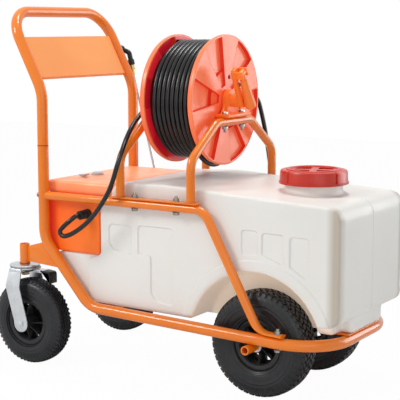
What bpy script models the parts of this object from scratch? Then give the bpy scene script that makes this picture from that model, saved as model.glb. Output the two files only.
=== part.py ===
"""Wheeled sprayer cart: tube frame, moulded tank, hose reel, two fixed wheels and two braked casters.

Metres, +Z up. +X is the way the cart is pushed, -Y is its right-hand side, and the origin is the
middle of the footprint on the ground.
"""

import math

import bmesh
import bpy
from mathutils import Matrix, Vector

# ---------------------------------------------------------------- driving dimensions
GAP = 0.0003  # left between pieces that touch

FRAME_HALF = 0.200  # centre of a side tube from the middle plane
FRAME_R = 0.014  # main tube, 28 mm
RAIL_R = 0.011  # upper rails and reel arches, 22 mm
LEG_X = -0.3375
GRIP_X, GRIP_Z = -0.4445, 0.917
KNEE_Z = 0.715  # where the leg leans back to the grip
SEAM_Z = 0.576  # handle tube meets lower frame
HEEL_Z = 0.335  # leg bends forward and down
TOE_X, TOE_Z = -0.1925, 0.171
NOSE_X, NOSE_Z = 0.4675, 0.1485
NOSE_BEND = 0.125

UPPER_Z = 0.448  # upper rail height
UPPER_BEND_X = 0.148
FOOT_X, FOOT_END_X = 0.2985, 0.363

WHEEL_R, WHEEL_W = 0.130, 0.080
WHEEL_X, WHEEL_Y = 0.275, FRAME_HALF - 0.066
AXLE_R, AXLE_HALF = 0.0109, FRAME_HALF + 0.024

CASTER_R, CASTER_W = 0.113, 0.062
FORK_HALF = 0.049  # middle of a fork leg from the wheel's middle
CASTER_X = -0.4058  # swivel axis
CASTER_TRAIL = 0.0245

TANK_HALF, TANK_WALL = FRAME_HALF - FRAME_R - 0.0025, 0.006
TANK_FRONT, TANK_TOP_REAR, TANK_TOP_FRONT = NOSE_X + 0.028, 0.4985, 0.4745
ARCH_R = 0.178
HULL_HALF = WHEEL_Y - WHEEL_W / 2 - 0.009  # between the wheels
LID_X, LID_R, LID_Z = 0.3365, 0.0845, 0.5045
NECK_R = 0.0705

BOX_REAR, BOX_FRONT, BOX_LOW, BOX_TOP = -0.3400, -0.1750, 0.3045, 0.4550
BOX_LID_TOP, BOX_LID_FRONT = BOX_TOP + 0.032, -0.1410
BOX_HALF = TANK_HALF - GAP

ARCH_REAR_X, ARCH_FRONT_X = -0.0945, 0.1115
ARCH_TOP_Z = 0.645
ARCH_TUBE_R = 0.0108

REEL_X, REEL_Z = 0.0125, 0.6965
DISC_R, DISC_T, RIM_T = 0.1625, 0.014, 0.009
FRONT_FACE, REAR_FACE = REEL_X + 0.078, REEL_X - 0.061  # the relief side of each disc
WIND_X = (FRONT_FACE - DISC_T + REAR_FACE) / 2  # middle of the winding
HOSE_R = 0.006
WIND_R, WIND_PITCH, WIND_TURNS = 0.1440, 0.0130, 8.25
SLACK = 0.020  # how far the last turn hangs below the others
CRANK_TILT = math.radians(28)
CRANK_LEN = 0.078

LANCE_Y = FRAME_HALF + 0.029  # outside the left rail

# ---------------------------------------------------------------- scene and materials
for old in list(bpy.data.objects):
    bpy.data.objects.remove(old, do_unlink=True)

PARTS = bpy.data.collections.new("sprayer_cart")
CUTTERS = bpy.data.collections.new("cutters")
bpy.context.scene.collection.children.link(PARTS)
bpy.context.scene.collection.children.link(CUTTERS)
CUTTERS.hide_render = True


def paint(name, rgb, rough, metal=0.0):
    m = bpy.data.materials.new(name)
    m.use_nodes = True
    b = m.node_tree.nodes["Principled BSDF"]
    b.inputs["Base Color"].default_value = (*rgb, 1)
    b.inputs["Roughness"].default_value = rough
    b.inputs["Metallic"].default_value = metal
    m.diffuse_color = (*rgb, 1)
    return m


LOOKS = {
    "frame": ((0.83, 0.19, 0.03), 0.35, 0.0),
    "plastic": ((1.0, 0.17, 0.035), 0.45, 0.0),
    "lid": ((0.75, 0.085, 0.03), 0.4, 0.0),
    "tank": ((0.80, 0.78, 0.74), 0.5, 0.0),
    "black": ((0.02, 0.02, 0.022), 0.5, 0.0),
    "hose": ((0.012, 0.012, 0.014), 0.35, 0.0),
    "tyre": ((0.03, 0.032, 0.035), 0.75, 0.0),
    "rim": ((0.022, 0.024, 0.028), 0.45, 0.0),
    "zinc": ((0.60, 0.62, 0.63), 0.35, 0.9),
    "brass": ((0.78, 0.57, 0.22), 0.3, 1.0),
    "grey": ((0.30, 0.31, 0.33), 0.5, 0.0),
}


def put(obj, look, smooth=35, origin=None):
    """Names the look, shades round faces smooth and files the object with the parts."""
    m = paint(obj.name, *LOOKS[look])
    obj.data.materials.clear()
    obj.data.materials.append(m)
    if origin is not None and obj.type == "MESH":
        shift = Vector(origin)
        obj.data.transform(obj.matrix_world)
        obj.data.transform(Matrix.Translation(-shift))
        obj.matrix_world = Matrix.Translation(shift)
    if obj.type == "MESH":
        obj.data.shade_smooth()
        obj.data.set_sharp_from_angle(angle=math.radians(smooth))
    for c in list(obj.users_collection):
        c.objects.unlink(obj)
    PARTS.objects.link(obj)
    return obj


# ---------------------------------------------------------------- shape helpers
def fresh(name, data):
    obj = bpy.data.objects.new(name, data)
    CUTTERS.objects.link(obj)
    return obj


def from_bmesh(name, bm):
    mesh = bpy.data.meshes.new(name)
    bmesh.ops.recalc_face_normals(bm, faces=bm.faces)
    bm.to_mesh(mesh)
    bm.free()
    return fresh(name, mesh)


def box(name, low, high):
    bm = bmesh.new()
    bmesh.ops.create_cube(bm, size=1)
    size = Vector(high) - Vector(low)
    bmesh.ops.scale(bm, vec=size, verts=bm.verts)
    bmesh.ops.translate(bm, vec=(Vector(low) + Vector(high)) / 2, verts=bm.verts)
    return from_bmesh(name, bm)


def rod(name, r, start, end, sides=20, r2=None):
    a, b = Vector(start), Vector(end)
    bm = bmesh.new()
    bmesh.ops.create_cone(bm, cap_ends=True, segments=sides, radius1=r, radius2=r if r2 is None else r2, depth=(b - a).length)
    turn = (b - a).to_track_quat("Z", "Y").to_matrix().to_4x4()
    bmesh.ops.transform(bm, matrix=Matrix.Translation((a + b) / 2) @ turn, verts=bm.verts)
    return from_bmesh(name, bm)


def baked(obj):
    """The object as a plain mesh, its modifiers and transform applied."""
    bpy.context.view_layer.update()
    ev = obj.evaluated_get(bpy.context.evaluated_depsgraph_get())
    mesh = bpy.data.meshes.new_from_object(ev)
    mesh.transform(obj.matrix_world)
    bm = bmesh.new()
    bm.from_mesh(mesh)
    bmesh.ops.remove_doubles(bm, verts=bm.verts, dist=1e-6)
    bmesh.ops.recalc_face_normals(bm, faces=bm.faces)
    bm.to_mesh(mesh)
    bm.free()
    name = obj.name
    bpy.data.objects.remove(obj, do_unlink=True)
    new = fresh(name, mesh)
    new.name = name
    return new


def merge(obj, others, how="UNION"):
    for other in others:
        m = obj.modifiers.new("join" if how == "UNION" else "cut", "BOOLEAN")
        m.object, m.operation, m.solver = other, how, "EXACT"
        obj = baked(obj)
        bpy.data.objects.remove(other, do_unlink=True)
    return obj


def cut(obj, *others):
    return merge(obj, others, "DIFFERENCE")


def join(obj, *others):
    return merge(obj, others)


def bent(points, seg=6):
    """Points (x, y, z, bend radius) to a path whose corners are arcs."""
    p = [Vector(q[:3]) for q in points]
    out = [p[0]]
    for i in range(1, len(p) - 1):
        r = points[i][3]
        a, b = (p[i - 1] - p[i]).normalized(), (p[i + 1] - p[i]).normalized()
        half = a.angle(b) / 2
        if r <= 0 or half > math.radians(89):
            out.append(p[i])
            continue
        middle = p[i] + (a + b).normalized() * (r / math.sin(half))
        sweep = math.pi - 2 * half
        u = (p[i] + a * (r / math.tan(half)) - middle).normalized()
        v = (p[i] + b * (r / math.tan(half)) - middle).normalized()
        for k in range(seg + 1):
            t = k / seg
            w = (u * math.sin((1 - t) * sweep) + v * math.sin(t * sweep)) / math.sin(sweep)
            out.append(middle + w * r)
    out.append(p[-1])
    return out


def smooth_path(points, step):
    """A Catmull-Rom curve through hand-chosen route points, read at equal steps."""
    p = [Vector(q) for q in points]
    p = [2 * p[0] - p[1]] + p + [2 * p[-1] - p[-2]]
    fine = []
    for i in range(1, len(p) - 2):
        for k in range(40):
            t = k / 40
            fine.append(
                0.5 * (2 * p[i] + (p[i + 1] - p[i - 1]) * t + (2 * p[i - 1] - 5 * p[i] + 4 * p[i + 1] - p[i + 2]) * t**2
                       + (3 * p[i] - p[i - 1] - 3 * p[i + 1] + p[i + 2]) * t**3)
            )
    fine.append(p[-2])
    length = sum((b - a).length for a, b in zip(fine, fine[1:]))
    n = max(2, round(length / step))
    out, run, want = [fine[0]], 0.0, length / n
    for a, b in zip(fine, fine[1:]):
        d = (b - a).length
        while d > 0 and run + d >= want and len(out) < n:
            out.append(a + (b - a) * ((want - run) / d))
            a, d, run = out[-1], (b - out[-1]).length, 0.0
        run += d
    out.append(fine[-1])
    return out, length


def run(points, step):
    """A route whose first and last stretches are straight, so that its end faces lie square."""
    middle, length = smooth_path(points[1:-1], step)
    path = [Vector(points[0])] + middle + [Vector(points[-1])]
    return path, length + (path[0] - path[1]).length + (path[-1] - path[-2]).length


def tube(name, path, r, res=4):
    c = bpy.data.curves.new(name, "CURVE")
    c.dimensions, c.bevel_depth, c.bevel_resolution = "3D", r, res
    c.use_fill_caps, c.resolution_u = True, 1
    s = c.splines.new("POLY")
    s.points.add(len(path) - 1)
    for q, v in zip(s.points, path):
        q.co = (*v, 1)
    return fresh(name, c)


def outline(name, loops, half, plane="XZ", at=0.0):
    """A flat shape with its holes, drawn in the plane and given a thickness of twice half."""
    c = bpy.data.curves.new(name, "CURVE")
    c.dimensions, c.fill_mode, c.extrude, c.resolution_u = "2D", "BOTH", half, 1
    for loop in loops:
        s = c.splines.new("POLY")
        s.points.add(len(loop) - 1)
        for q, v in zip(s.points, loop):
            q.co = (v[0], v[1], 0, 1)
        s.use_cyclic_u = True
    obj = fresh(name, c)
    if plane == "XZ":
        obj.matrix_world = Matrix.Translation((0, at, 0)) @ Matrix.Rotation(math.radians(90), 4, "X")
    elif plane == "YZ":
        obj.matrix_world = Matrix.Translation((at, 0, 0)) @ Matrix(((0, 0, 1, 0), (1, 0, 0, 0), (0, 1, 0, 0), (0, 0, 0, 1)))
    else:
        obj.matrix_world = Matrix.Translation((0, 0, at))
    return baked(obj)


def ring(r, n, cx=0.0, cy=0.0, turn=0.0):
    return [(cx + r * math.cos(turn + 2 * math.pi * k / n), cy + r * math.sin(turn + 2 * math.pi * k / n)) for k in range(n)]


def corners(points, seg=3):
    """A closed 2D outline of (a, b, radius) with its corners rounded."""
    out, n = [], len(points)
    for i in range(n):
        p = Vector(points[i][:2])
        r = points[i][2]
        a = Vector(points[i - 1][:2]) - p
        b = Vector(points[(i + 1) % n][:2]) - p
        a.normalize()
        b.normalize()
        half = math.acos(max(-1, min(1, a.dot(b)))) / 2
        if r <= 0:
            out.append((p.x, p.y))
            continue
        middle = p + (a + b).normalized() * (r / math.sin(half))
        u = (p + a * (r / math.tan(half)) - middle).normalized()
        v = (p + b * (r / math.tan(half)) - middle).normalized()
        sweep = math.pi - 2 * half
        for k in range(seg + 1):
            t = k / seg
            w = (u * math.sin((1 - t) * sweep) + v * math.sin(t * sweep)) / math.sin(sweep)
            q = middle + w * r
            out.append((q.x, q.y))
    return out


def turned(name, profile, steps, at, axis="Z"):
    """A profile of (radius, height), listed top to bottom on its outer side, turned about the axis."""
    mesh = bpy.data.meshes.new(name)
    n = len(profile)
    shut = profile[0][0] > 1e-6 or profile[-1][0] > 1e-6
    edges = [(i, i + 1) for i in range(n - 1)] + ([(n - 1, 0)] if shut else [])
    mesh.from_pydata([(r, 0, z) for r, z in profile], edges, [])
    obj = fresh(name, mesh)
    m = obj.modifiers.new("turn", "SCREW")
    m.axis, m.angle, m.steps, m.render_steps = "Z", 2 * math.pi, steps, steps
    m.use_merge_vertices, m.merge_threshold, m.use_normal_calculate = True, 1e-5, True
    turn = {"Z": Matrix.Identity(4), "Y": Matrix.Rotation(math.radians(-90), 4, "X"), "X": Matrix.Rotation(math.radians(90), 4, "Y")}[axis]
    obj.matrix_world = Matrix.Translation(at) @ turn
    return baked(obj)


def bevelled(obj, width, seg=2, angle=40):
    m = obj.modifiers.new("round", "BEVEL")
    m.width, m.segments, m.limit_method, m.angle_limit = width, seg, "ANGLE", math.radians(angle)
    return baked(obj)


def moved(obj, matrix):
    obj.data.transform(matrix)
    if matrix.determinant() < 0:
        obj.data.flip_normals()
    return obj


SIDES = (("right", -1), ("left", 1))

# ---------------------------------------------------------------- main frame
# One tube runs from the right seam down the leg, along the bottom, round the nose and back up.
leg_low = [
    (LEG_X, -FRAME_HALF, SEAM_Z - GAP / 2, 0),
    (LEG_X, -FRAME_HALF, HEEL_Z, 0.075),
    (TOE_X, -FRAME_HALF, TOE_Z, 0.070),
    (NOSE_X, -FRAME_HALF, NOSE_Z, NOSE_BEND),
]
loop = leg_low + [(x, -y, z, r) for x, y, z, r in reversed(leg_low)]
frame_path = bent(loop, 6)
put(tube("main_frame", frame_path, FRAME_R, 3), "frame")

handle = [
    (LEG_X, -FRAME_HALF, SEAM_Z + GAP / 2, 0),
    (LEG_X, -FRAME_HALF, KNEE_Z, 0.11),
    (GRIP_X, -FRAME_HALF, GRIP_Z, 0.078),
]
handle_path = bent(handle + [(x, -y, z, r) for x, y, z, r in reversed(handle)], 6)
put(tube("handle_tube", handle_path, FRAME_R, 3), "frame")


def frame_cutter():
    return baked(tube("frame_cutter", bent(loop, 6), FRAME_R + GAP, 3))


# Sheet panel between the leaning legs, with a folded lower edge.
lean = Vector((GRIP_X - LEG_X, 0, GRIP_Z - KNEE_Z)).normalized()
face = Vector((lean.z, 0, -lean.x))  # out of the panel, to the front
low = Vector((LEG_X, 0, KNEE_Z)) + lean * 0.036
half_width = FRAME_HALF - FRAME_R - GAP
panel = box("handle_plate", (0, -half_width, -0.001), (0.118, half_width, 0.001))
lip = box("lip", (0, -half_width, -0.010), (0.002, half_width, 0.001))
panel = join(panel, lip)
moved(panel, Matrix(((lean.x, 0, face.x, low.x), (0, 1, 0, 0), (lean.z, 0, face.z, low.z), (0, 0, 0, 1))))
put(panel, "frame")

# ---------------------------------------------------------------- upper rails
for side, s in SIDES:
    y = s * FRAME_HALF
    rail_z = TOE_Z + (FOOT_END_X - TOE_X) / (NOSE_X - TOE_X) * (NOSE_Z - TOE_Z)
    slope = (NOSE_Z - TOE_Z) / (NOSE_X - TOE_X)
    foot_z = rail_z + FRAME_R + GAP + 0.0045
    path = bent(
        [
            (LEG_X + 0.004, y, UPPER_Z, 0),
            (UPPER_BEND_X, y, UPPER_Z, 0.045),
            (FOOT_X, y, foot_z + 0.003, 0.045),
            (FOOT_END_X, y, foot_z, 0),
        ],
        5,
    )
    # The tube is drawn out flat at its foot: a loft from a round section to a wide low one.
    bm, n, rows = bmesh.new(), 10, []
    for i, q in enumerate(path):
        ahead = path[min(i + 1, len(path) - 1)] - path[max(i - 1, 0)]
        ahead.normalize()
        up = Vector((-ahead.z, 0, ahead.x))
        flat = max(0.0, min(1.0, (q.x - (FOOT_X - 0.020)) / 0.045))
        wide, tall = RAIL_R + 0.0035 * flat, RAIL_R - 0.0065 * flat
        rows.append(
            [bm.verts.new(q + up * (tall * math.sin(2 * math.pi * k / n)) + Vector((0, wide * math.cos(2 * math.pi * k / n), 0))) for k in range(n)]
        )
    for a, b in zip(rows, rows[1:]):
        for k in range(n):
            bm.faces.new((a[k], a[(k + 1) % n], b[(k + 1) % n], b[k]))
    bm.faces.new(rows[0])
    bm.faces.new(rows[-1])
    rail = from_bmesh("upper_rail_" + side, bm)
    put(cut(rail, frame_cutter()), "frame")

# ---------------------------------------------------------------- reel stand
for side, s in SIDES:
    base = box("arch_base_" + side, (ARCH_REAR_X - 0.022, s * FRAME_HALF - 0.0125, UPPER_Z + RAIL_R + GAP), (ARCH_FRONT_X + 0.022, s * FRAME_HALF + 0.0125, UPPER_Z + RAIL_R + GAP + 0.004))
    put(base, "frame")

ARCH_FOOT = UPPER_Z + RAIL_R + 2 * GAP + 0.004
for where, x in (("rear", ARCH_REAR_X), ("front", ARCH_FRONT_X)):
    half = [(x, -FRAME_HALF, ARCH_FOOT, 0), (x, -FRAME_HALF, 0.562, 0.045), (x, 0.118 - FRAME_HALF, ARCH_TOP_Z, 0.040)]
    put(tube("reel_arch_" + where, bent(half + [(a, -b, c, r) for a, b, c, r in reversed(half)], 4), ARCH_TUBE_R, 3), "frame")

# ---------------------------------------------------------------- tank
def offset_loop(loop, d):
    """The closed outline drawn in by d along its corner normals."""
    n, out = len(loop), []
    area = sum(loop[i - 1][0] * loop[i][1] - loop[i][0] * loop[i - 1][1] for i in range(n))
    sign = 1 if area > 0 else -1
    for i in range(n):
        a, p, b = Vector(loop[i - 1]), Vector(loop[i]), Vector(loop[(i + 1) % n])
        u, v = (p - a).normalized(), (b - p).normalized()
        nu, nv = Vector((-u.y, u.x)) * sign, Vector((-v.y, v.x)) * sign
        m = (nu + nv).normalized()
        out.append(tuple(p + m * (d / max(0.5, m.dot(nu)))))
    return out


def tank_side(inset=0.0):
    """The tank seen from the side: rear ledge under the box, wheel arch and nose."""
    a0, a1 = math.radians(164.5), math.radians(22.5)
    arch = [(WHEEL_X + ARCH_R * math.cos(a0 + (a1 - a0) * k / 12), 0.130 + ARCH_R * math.sin(a0 + (a1 - a0) * k / 12)) for k in range(13)]
    rear = corners(
        [(arch[-1][0] + 0.004, arch[-1][1] - 0.003, 0.0), (TANK_FRONT, 0.203, 0.030), (TANK_FRONT, TANK_TOP_FRONT, 0.034), (0.020, TANK_TOP_REAR, 0.10),
         (-0.1385, TANK_TOP_REAR - 0.006, 0.034), (-0.1385, BOX_TOP - 0.0004, 0.004), (BOX_FRONT + 0.0012, BOX_TOP - 0.0004, 0.006), (BOX_FRONT + 0.0012, BOX_LOW - 0.0010, 0.006),
         (-0.3300, BOX_LOW - 0.0010, 0.014), (-0.2215, 0.1800, 0.035), (arch[0][0] - 0.003, 0.1750, 0.0)],
        4,
    )
    loop = arch + rear
    return offset_loop(loop, inset) if inset else loop


def moulding(name, loop, half, top_round, low_round, seg):
    """A prism across the cart whose side edges are rounded, more above than at the arch."""
    bm = bmesh.new()
    near = [bm.verts.new((x, -half, z)) for x, z in loop]
    far = [bm.verts.new((x, half, z)) for x, z in loop]
    n = len(loop)
    bm.faces.new(near)
    bm.faces.new(list(reversed(far)))
    for i in range(n):
        bm.faces.new((near[i], far[i], far[(i + 1) % n], near[(i + 1) % n]))
    bmesh.ops.recalc_face_normals(bm, faces=bm.faces)
    weight = bm.edges.layers.float.new("bevel_weight_edge")
    for e in bm.edges:
        a, b = e.verts
        if abs(a.co.y - b.co.y) > 1e-6:
            continue
        mid = (a.co + b.co) / 2
        high = mid.z > 0.40 or mid.x > TANK_FRONT - 0.03
        e[weight] = 1.0 if high else low_round / top_round
    obj = from_bmesh(name, bm)
    m = obj.modifiers.new("round", "BEVEL")
    m.width, m.segments, m.limit_method = top_round, seg, "WEIGHT"
    return baked(obj)


def hull_side(d=0.0):
    return corners([(TANK_FRONT - 0.0085 - d, 0.1671 + d, 0.012), (TANK_FRONT - 0.0085 - d, 0.330 - d, 0), (-0.150 + d, 0.330 - d, 0), (-0.150 + d, 0.1800 + d, 0.0), (-0.060 + d, 0.168 + d, 0.02)], 2)


tank = moulding("tank", tank_side(), TANK_HALF, 0.040, 0.014, 3)
tank = join(tank, moulding("hull", hull_side(), HULL_HALF, 0.010, 0.010, 2))
neck = rod("neck", NECK_R, (LID_X, 0, 0.470), (LID_X, 0, LID_Z + 0.014), 36)
tank = join(tank, neck)
inside = moulding("inside", tank_side(TANK_WALL), TANK_HALF - TANK_WALL, 0.033, 0.010, 2)
inside = join(inside, moulding("hull_inside", hull_side(TANK_WALL), HULL_HALF - TANK_WALL, 0.006, 0.006, 1))
inside = join(inside, rod("throat", NECK_R - 0.006, (LID_X, 0, 0.455), (LID_X, 0, LID_Z + 0.030), 32))
tank = cut(tank, inside)
# Shallow panels pressed into the side walls, cut to 3 mm.
PANELS = [
    [(-0.080, 0.415, 0.012), (-0.018, 0.415, 0.012), (-0.018, 0.330, 0.012), (-0.080, 0.330, 0.012)],
    [(-0.002, 0.415, 0.012), (0.066, 0.415, 0.012), (0.066, 0.215, 0.012), (0.028, 0.215, 0.012), (0.028, 0.315, 0.012), (-0.002, 0.315, 0.012)],
    [(0.232, 0.425, 0.008), (0.276, 0.425, 0.008), (0.276, 0.352, 0.008), (0.232, 0.348, 0.008)],
    [(0.292, 0.425, 0.008), (0.338, 0.425, 0.008), (0.338, 0.334, 0.008), (0.292, 0.350, 0.008)],
    [(0.354, 0.425, 0.008), (0.404, 0.425, 0.008), (0.404, 0.296, 0.008), (0.354, 0.328, 0.008)],
]
for s in (-1, 1):
    for i, shape in enumerate(PANELS):
        tank = cut(tank, outline("panel", [corners(shape, 2)], 0.003, "XZ", s * TANK_HALF))
put(tank, "tank", 30)

seal = turned("lid_seal", [(NECK_R - 0.0004, 0.0022), (NECK_R - 0.0004, 0), (NECK_R - 0.0058, 0), (NECK_R - 0.0058, 0.0022)], 32, (LID_X, 0, LID_Z + 0.014 + GAP))
put(seal, "black", origin=(LID_X, 0, LID_Z + 0.015))

# Screw lid: skirt over the neck, a flat top with two finger wells and notches round the rim.
z0, z1 = LID_Z, LID_Z + 0.0355
lid = turned(
    "tank_lid",
    [(0, z1 - 0.004), (0.056, z1 - 0.004), (0.060, z1), (LID_R - 0.006, z1), (LID_R - 0.001, z1 - 0.004), (LID_R, z0 + 0.006), (LID_R, z0),
     (NECK_R + 0.0006, z0), (NECK_R + 0.0006, z1 - 0.0180), (0, z1 - 0.0180)],
    36, (LID_X, 0, 0),
)
for k in range(8):
    a = math.radians(22.5 + 45 * k)
    notch = box("notch", (LID_R - 0.0025, -0.0025, z0 - 0.01), (LID_R + 0.004, 0.0025, z1 + 0.01))
    moved(notch, Matrix.Translation((LID_X, 0, 0)) @ Matrix.Rotation(a, 4, "Z"))
    lid = cut(lid, notch)
for a in (0, math.pi / 2, math.pi, 1.5 * math.pi):
    well = outline("well", [corners([(0.009, 0.009, 0.004), (0.045, 0.009, 0.006), (0.009, 0.045, 0.006)], 2)], 0.004, "XY", z1 - 0.0040)
    moved(well, Matrix.Translation((LID_X, 0, 0)) @ Matrix.Rotation(a + math.radians(20), 4, "Z"))
    lid = cut(lid, well)
put(lid, "lid", origin=(LID_X, 0, z0))

# ---------------------------------------------------------------- pump box
shell = corners([(BOX_REAR, BOX_LOW, 0.008), (BOX_FRONT, BOX_LOW, 0.008), (BOX_FRONT, BOX_TOP - 0.0004, 0), (BOX_REAR, BOX_TOP - 0.0004, 0)], 2)
pump_box = outline("pump_box", [shell], BOX_HALF, "XZ", 0)
room = box("room", (BOX_REAR + 0.004, -BOX_HALF + 0.004, BOX_LOW + 0.004), (BOX_FRONT - 0.004, BOX_HALF - 0.004, BOX_TOP + 0.02))
pump_box = cut(pump_box, room)
put(pump_box, "plastic")

lid_box = box("pump_box_lid", (BOX_REAR - 0.0005, -BOX_HALF, BOX_TOP - 0.0004 + GAP), (BOX_LID_FRONT, BOX_HALF, BOX_LID_TOP))
# Sunk where the upper frame pieces and the tank's shoulder stand beside it.
lid_box = bevelled(lid_box, 0.008, 2)
well = box("well", (BOX_REAR + 0.006, -BOX_HALF + 0.006, BOX_TOP - 0.02), (BOX_FRONT - 0.006, BOX_HALF - 0.006, BOX_LID_TOP - 0.004))
lid_box = cut(lid_box, well)

# Battery and pump inside the box.
put(box("battery", (-0.3245, 0.010, BOX_LOW + 0.004 + GAP), (-0.2245, BOX_HALF - 0.0182, 0.418)), "grey")
pump = rod("pump", 0.034, (-0.255, 0.0332 - BOX_HALF, 0.3435), (-0.255, -0.030, 0.3435), 20)
pump = join(pump, box("pump_foot", (-0.300, 0.0432 - BOX_HALF, BOX_LOW + 0.004 + GAP), (-0.210, -0.045, 0.325)))
put(pump, "black")

# Rocker switch and pressure dial on the box lid, the switch in a raised frame of the lid.
SWITCH = (-0.292, -0.090, BOX_LID_TOP)
frame_ring = box("switch_frame", (SWITCH[0] - 0.016, SWITCH[1] - 0.012, SWITCH[2] - 0.001), (SWITCH[0] + 0.016, SWITCH[1] + 0.012, SWITCH[2] + 0.004))
frame_ring = cut(frame_ring, box("hole", (SWITCH[0] - 0.0125, SWITCH[1] - 0.0085, SWITCH[2] - 0.01), (SWITCH[0] + 0.0125, SWITCH[1] + 0.0085, SWITCH[2] + 0.02)))
lid_box = join(lid_box, frame_ring)
put(lid_box, "plastic")
rocker = outline("power_switch", [[(SWITCH[0] - 0.0115, SWITCH[2] + 0.0042), (SWITCH[0], SWITCH[2] + 0.0008), (SWITCH[0] + 0.0115, SWITCH[2] + 0.0042), (SWITCH[0] + 0.0115, SWITCH[2] + 0.0086), (SWITCH[0], SWITCH[2] + 0.0052), (SWITCH[0] - 0.0115, SWITCH[2] + 0.0066)]], 0.0078, "XZ", SWITCH[1])
put(rocker, "black", origin=(SWITCH[0], SWITCH[1], SWITCH[2] + 0.004))
DIAL = (-0.292, -0.030, BOX_LID_TOP + GAP)
dial = turned("pressure_dial", [(0, 0.0065), (0.012, 0.0065), (0.0140, 0.0050), (0.0150, 0.0015), (0.0175, 0.0015), (0.0175, 0), (0, 0)], 20, DIAL)
put(dial, "grey", origin=DIAL)

# ---------------------------------------------------------------- front axle, rests, wheels
axle = rod("front_axle", AXLE_R, (WHEEL_X, -AXLE_HALF, WHEEL_R), (WHEEL_X, AXLE_HALF, WHEEL_R), 20)
for s in (-1, 1):
    axle = cut(axle, rod("bore", AXLE_R - 0.0032, (WHEEL_X, s * (AXLE_HALF - 0.045), WHEEL_R), (WHEEL_X, s * (AXLE_HALF + 0.01), WHEEL_R), 14))
axle = cut(axle, frame_cutter())
put(axle, "frame")

put(box("tank_rest_front", (NOSE_X - 0.0375, -HULL_HALF - 0.003, NOSE_Z + FRAME_R + GAP), (NOSE_X + 0.0105, HULL_HALF + 0.003, NOSE_Z + FRAME_R + GAP + 0.004)), "frame")
rest = rod("tank_rest_rear", 0.0095, (-0.150, -FRAME_HALF + 0.004, 0.1685), (-0.150, FRAME_HALF - 0.004, 0.1685), 12)
put(cut(rest, frame_cutter()), "frame")


def wheel(tag, radius, width, at, axle_r, hub_half, spokes=8):
    """A pneumatic tyre on a spoked rim. Both turn about Y."""
    w = width / 2
    bead = 0.030 if width > 0.07 else 0.025
    steps = 26 if width > 0.07 else 22  # a whole facet lies flat on the ground
    tread = radius / math.cos(math.pi / steps)
    tyre_side = [(0.0583, bead - 0.0028), (0.0618, bead - 0.0028), (0.0760, w * 0.965), (radius - 0.025, w), (radius - 0.007, w * 0.80), (tread, w * 0.32)]
    profile = tyre_side + [(r, -y) for r, y in reversed(tyre_side)]
    tyre = turned("tyre_" + tag, profile, steps, at, "Y")
    put(tyre, "tyre", 50, origin=at)
    barrel_side = [(0.0615, bead), (0.0615, bead - 0.0025), (0.0580, bead - 0.0025)]
    barrel = barrel_side + [(r, -y) for r, y in reversed(barrel_side)] + [(0.0545, -bead), (0.0545, bead)]
    rim = turned("rim_" + tag, barrel, steps, at, "Y")
    windows = []
    for k in range(spokes):
        a = 2 * math.pi * (k + 0.5) / spokes
        h = math.pi / spokes
        pts = []
        for r, spread, n in ((0.0290, h - 0.0060 / 0.0290, 1), (0.0480, h - 0.0060 / 0.0480, 1)):
            arc = [(at[0] + r * math.cos(a + spread * (2 * t / n - 1)), at[2] + r * math.sin(a + spread * (2 * t / n - 1))) for t in range(n + 1)]
            pts += arc if r < 0.035 else arc[::-1]
        windows.append(pts)
    web = outline("web", [ring(0.0566, steps, at[0], at[2])] + windows + [ring(0.0150, 10, at[0], at[2])], 0.010, "XZ", at[1])
    rim = join(rim, web)
    hub = turned("hub", [(0.0175, hub_half), (0.0175, -hub_half), (axle_r + GAP, -hub_half), (axle_r + GAP, hub_half)], 14, at, "Y")
    rim = join(rim, hub)
    put(rim, "rim", 40, origin=at)


for side, s in SIDES:
    wheel("front_" + side, WHEEL_R, WHEEL_W, (WHEEL_X, s * WHEEL_Y, WHEEL_R), AXLE_R, 0.036)

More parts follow.
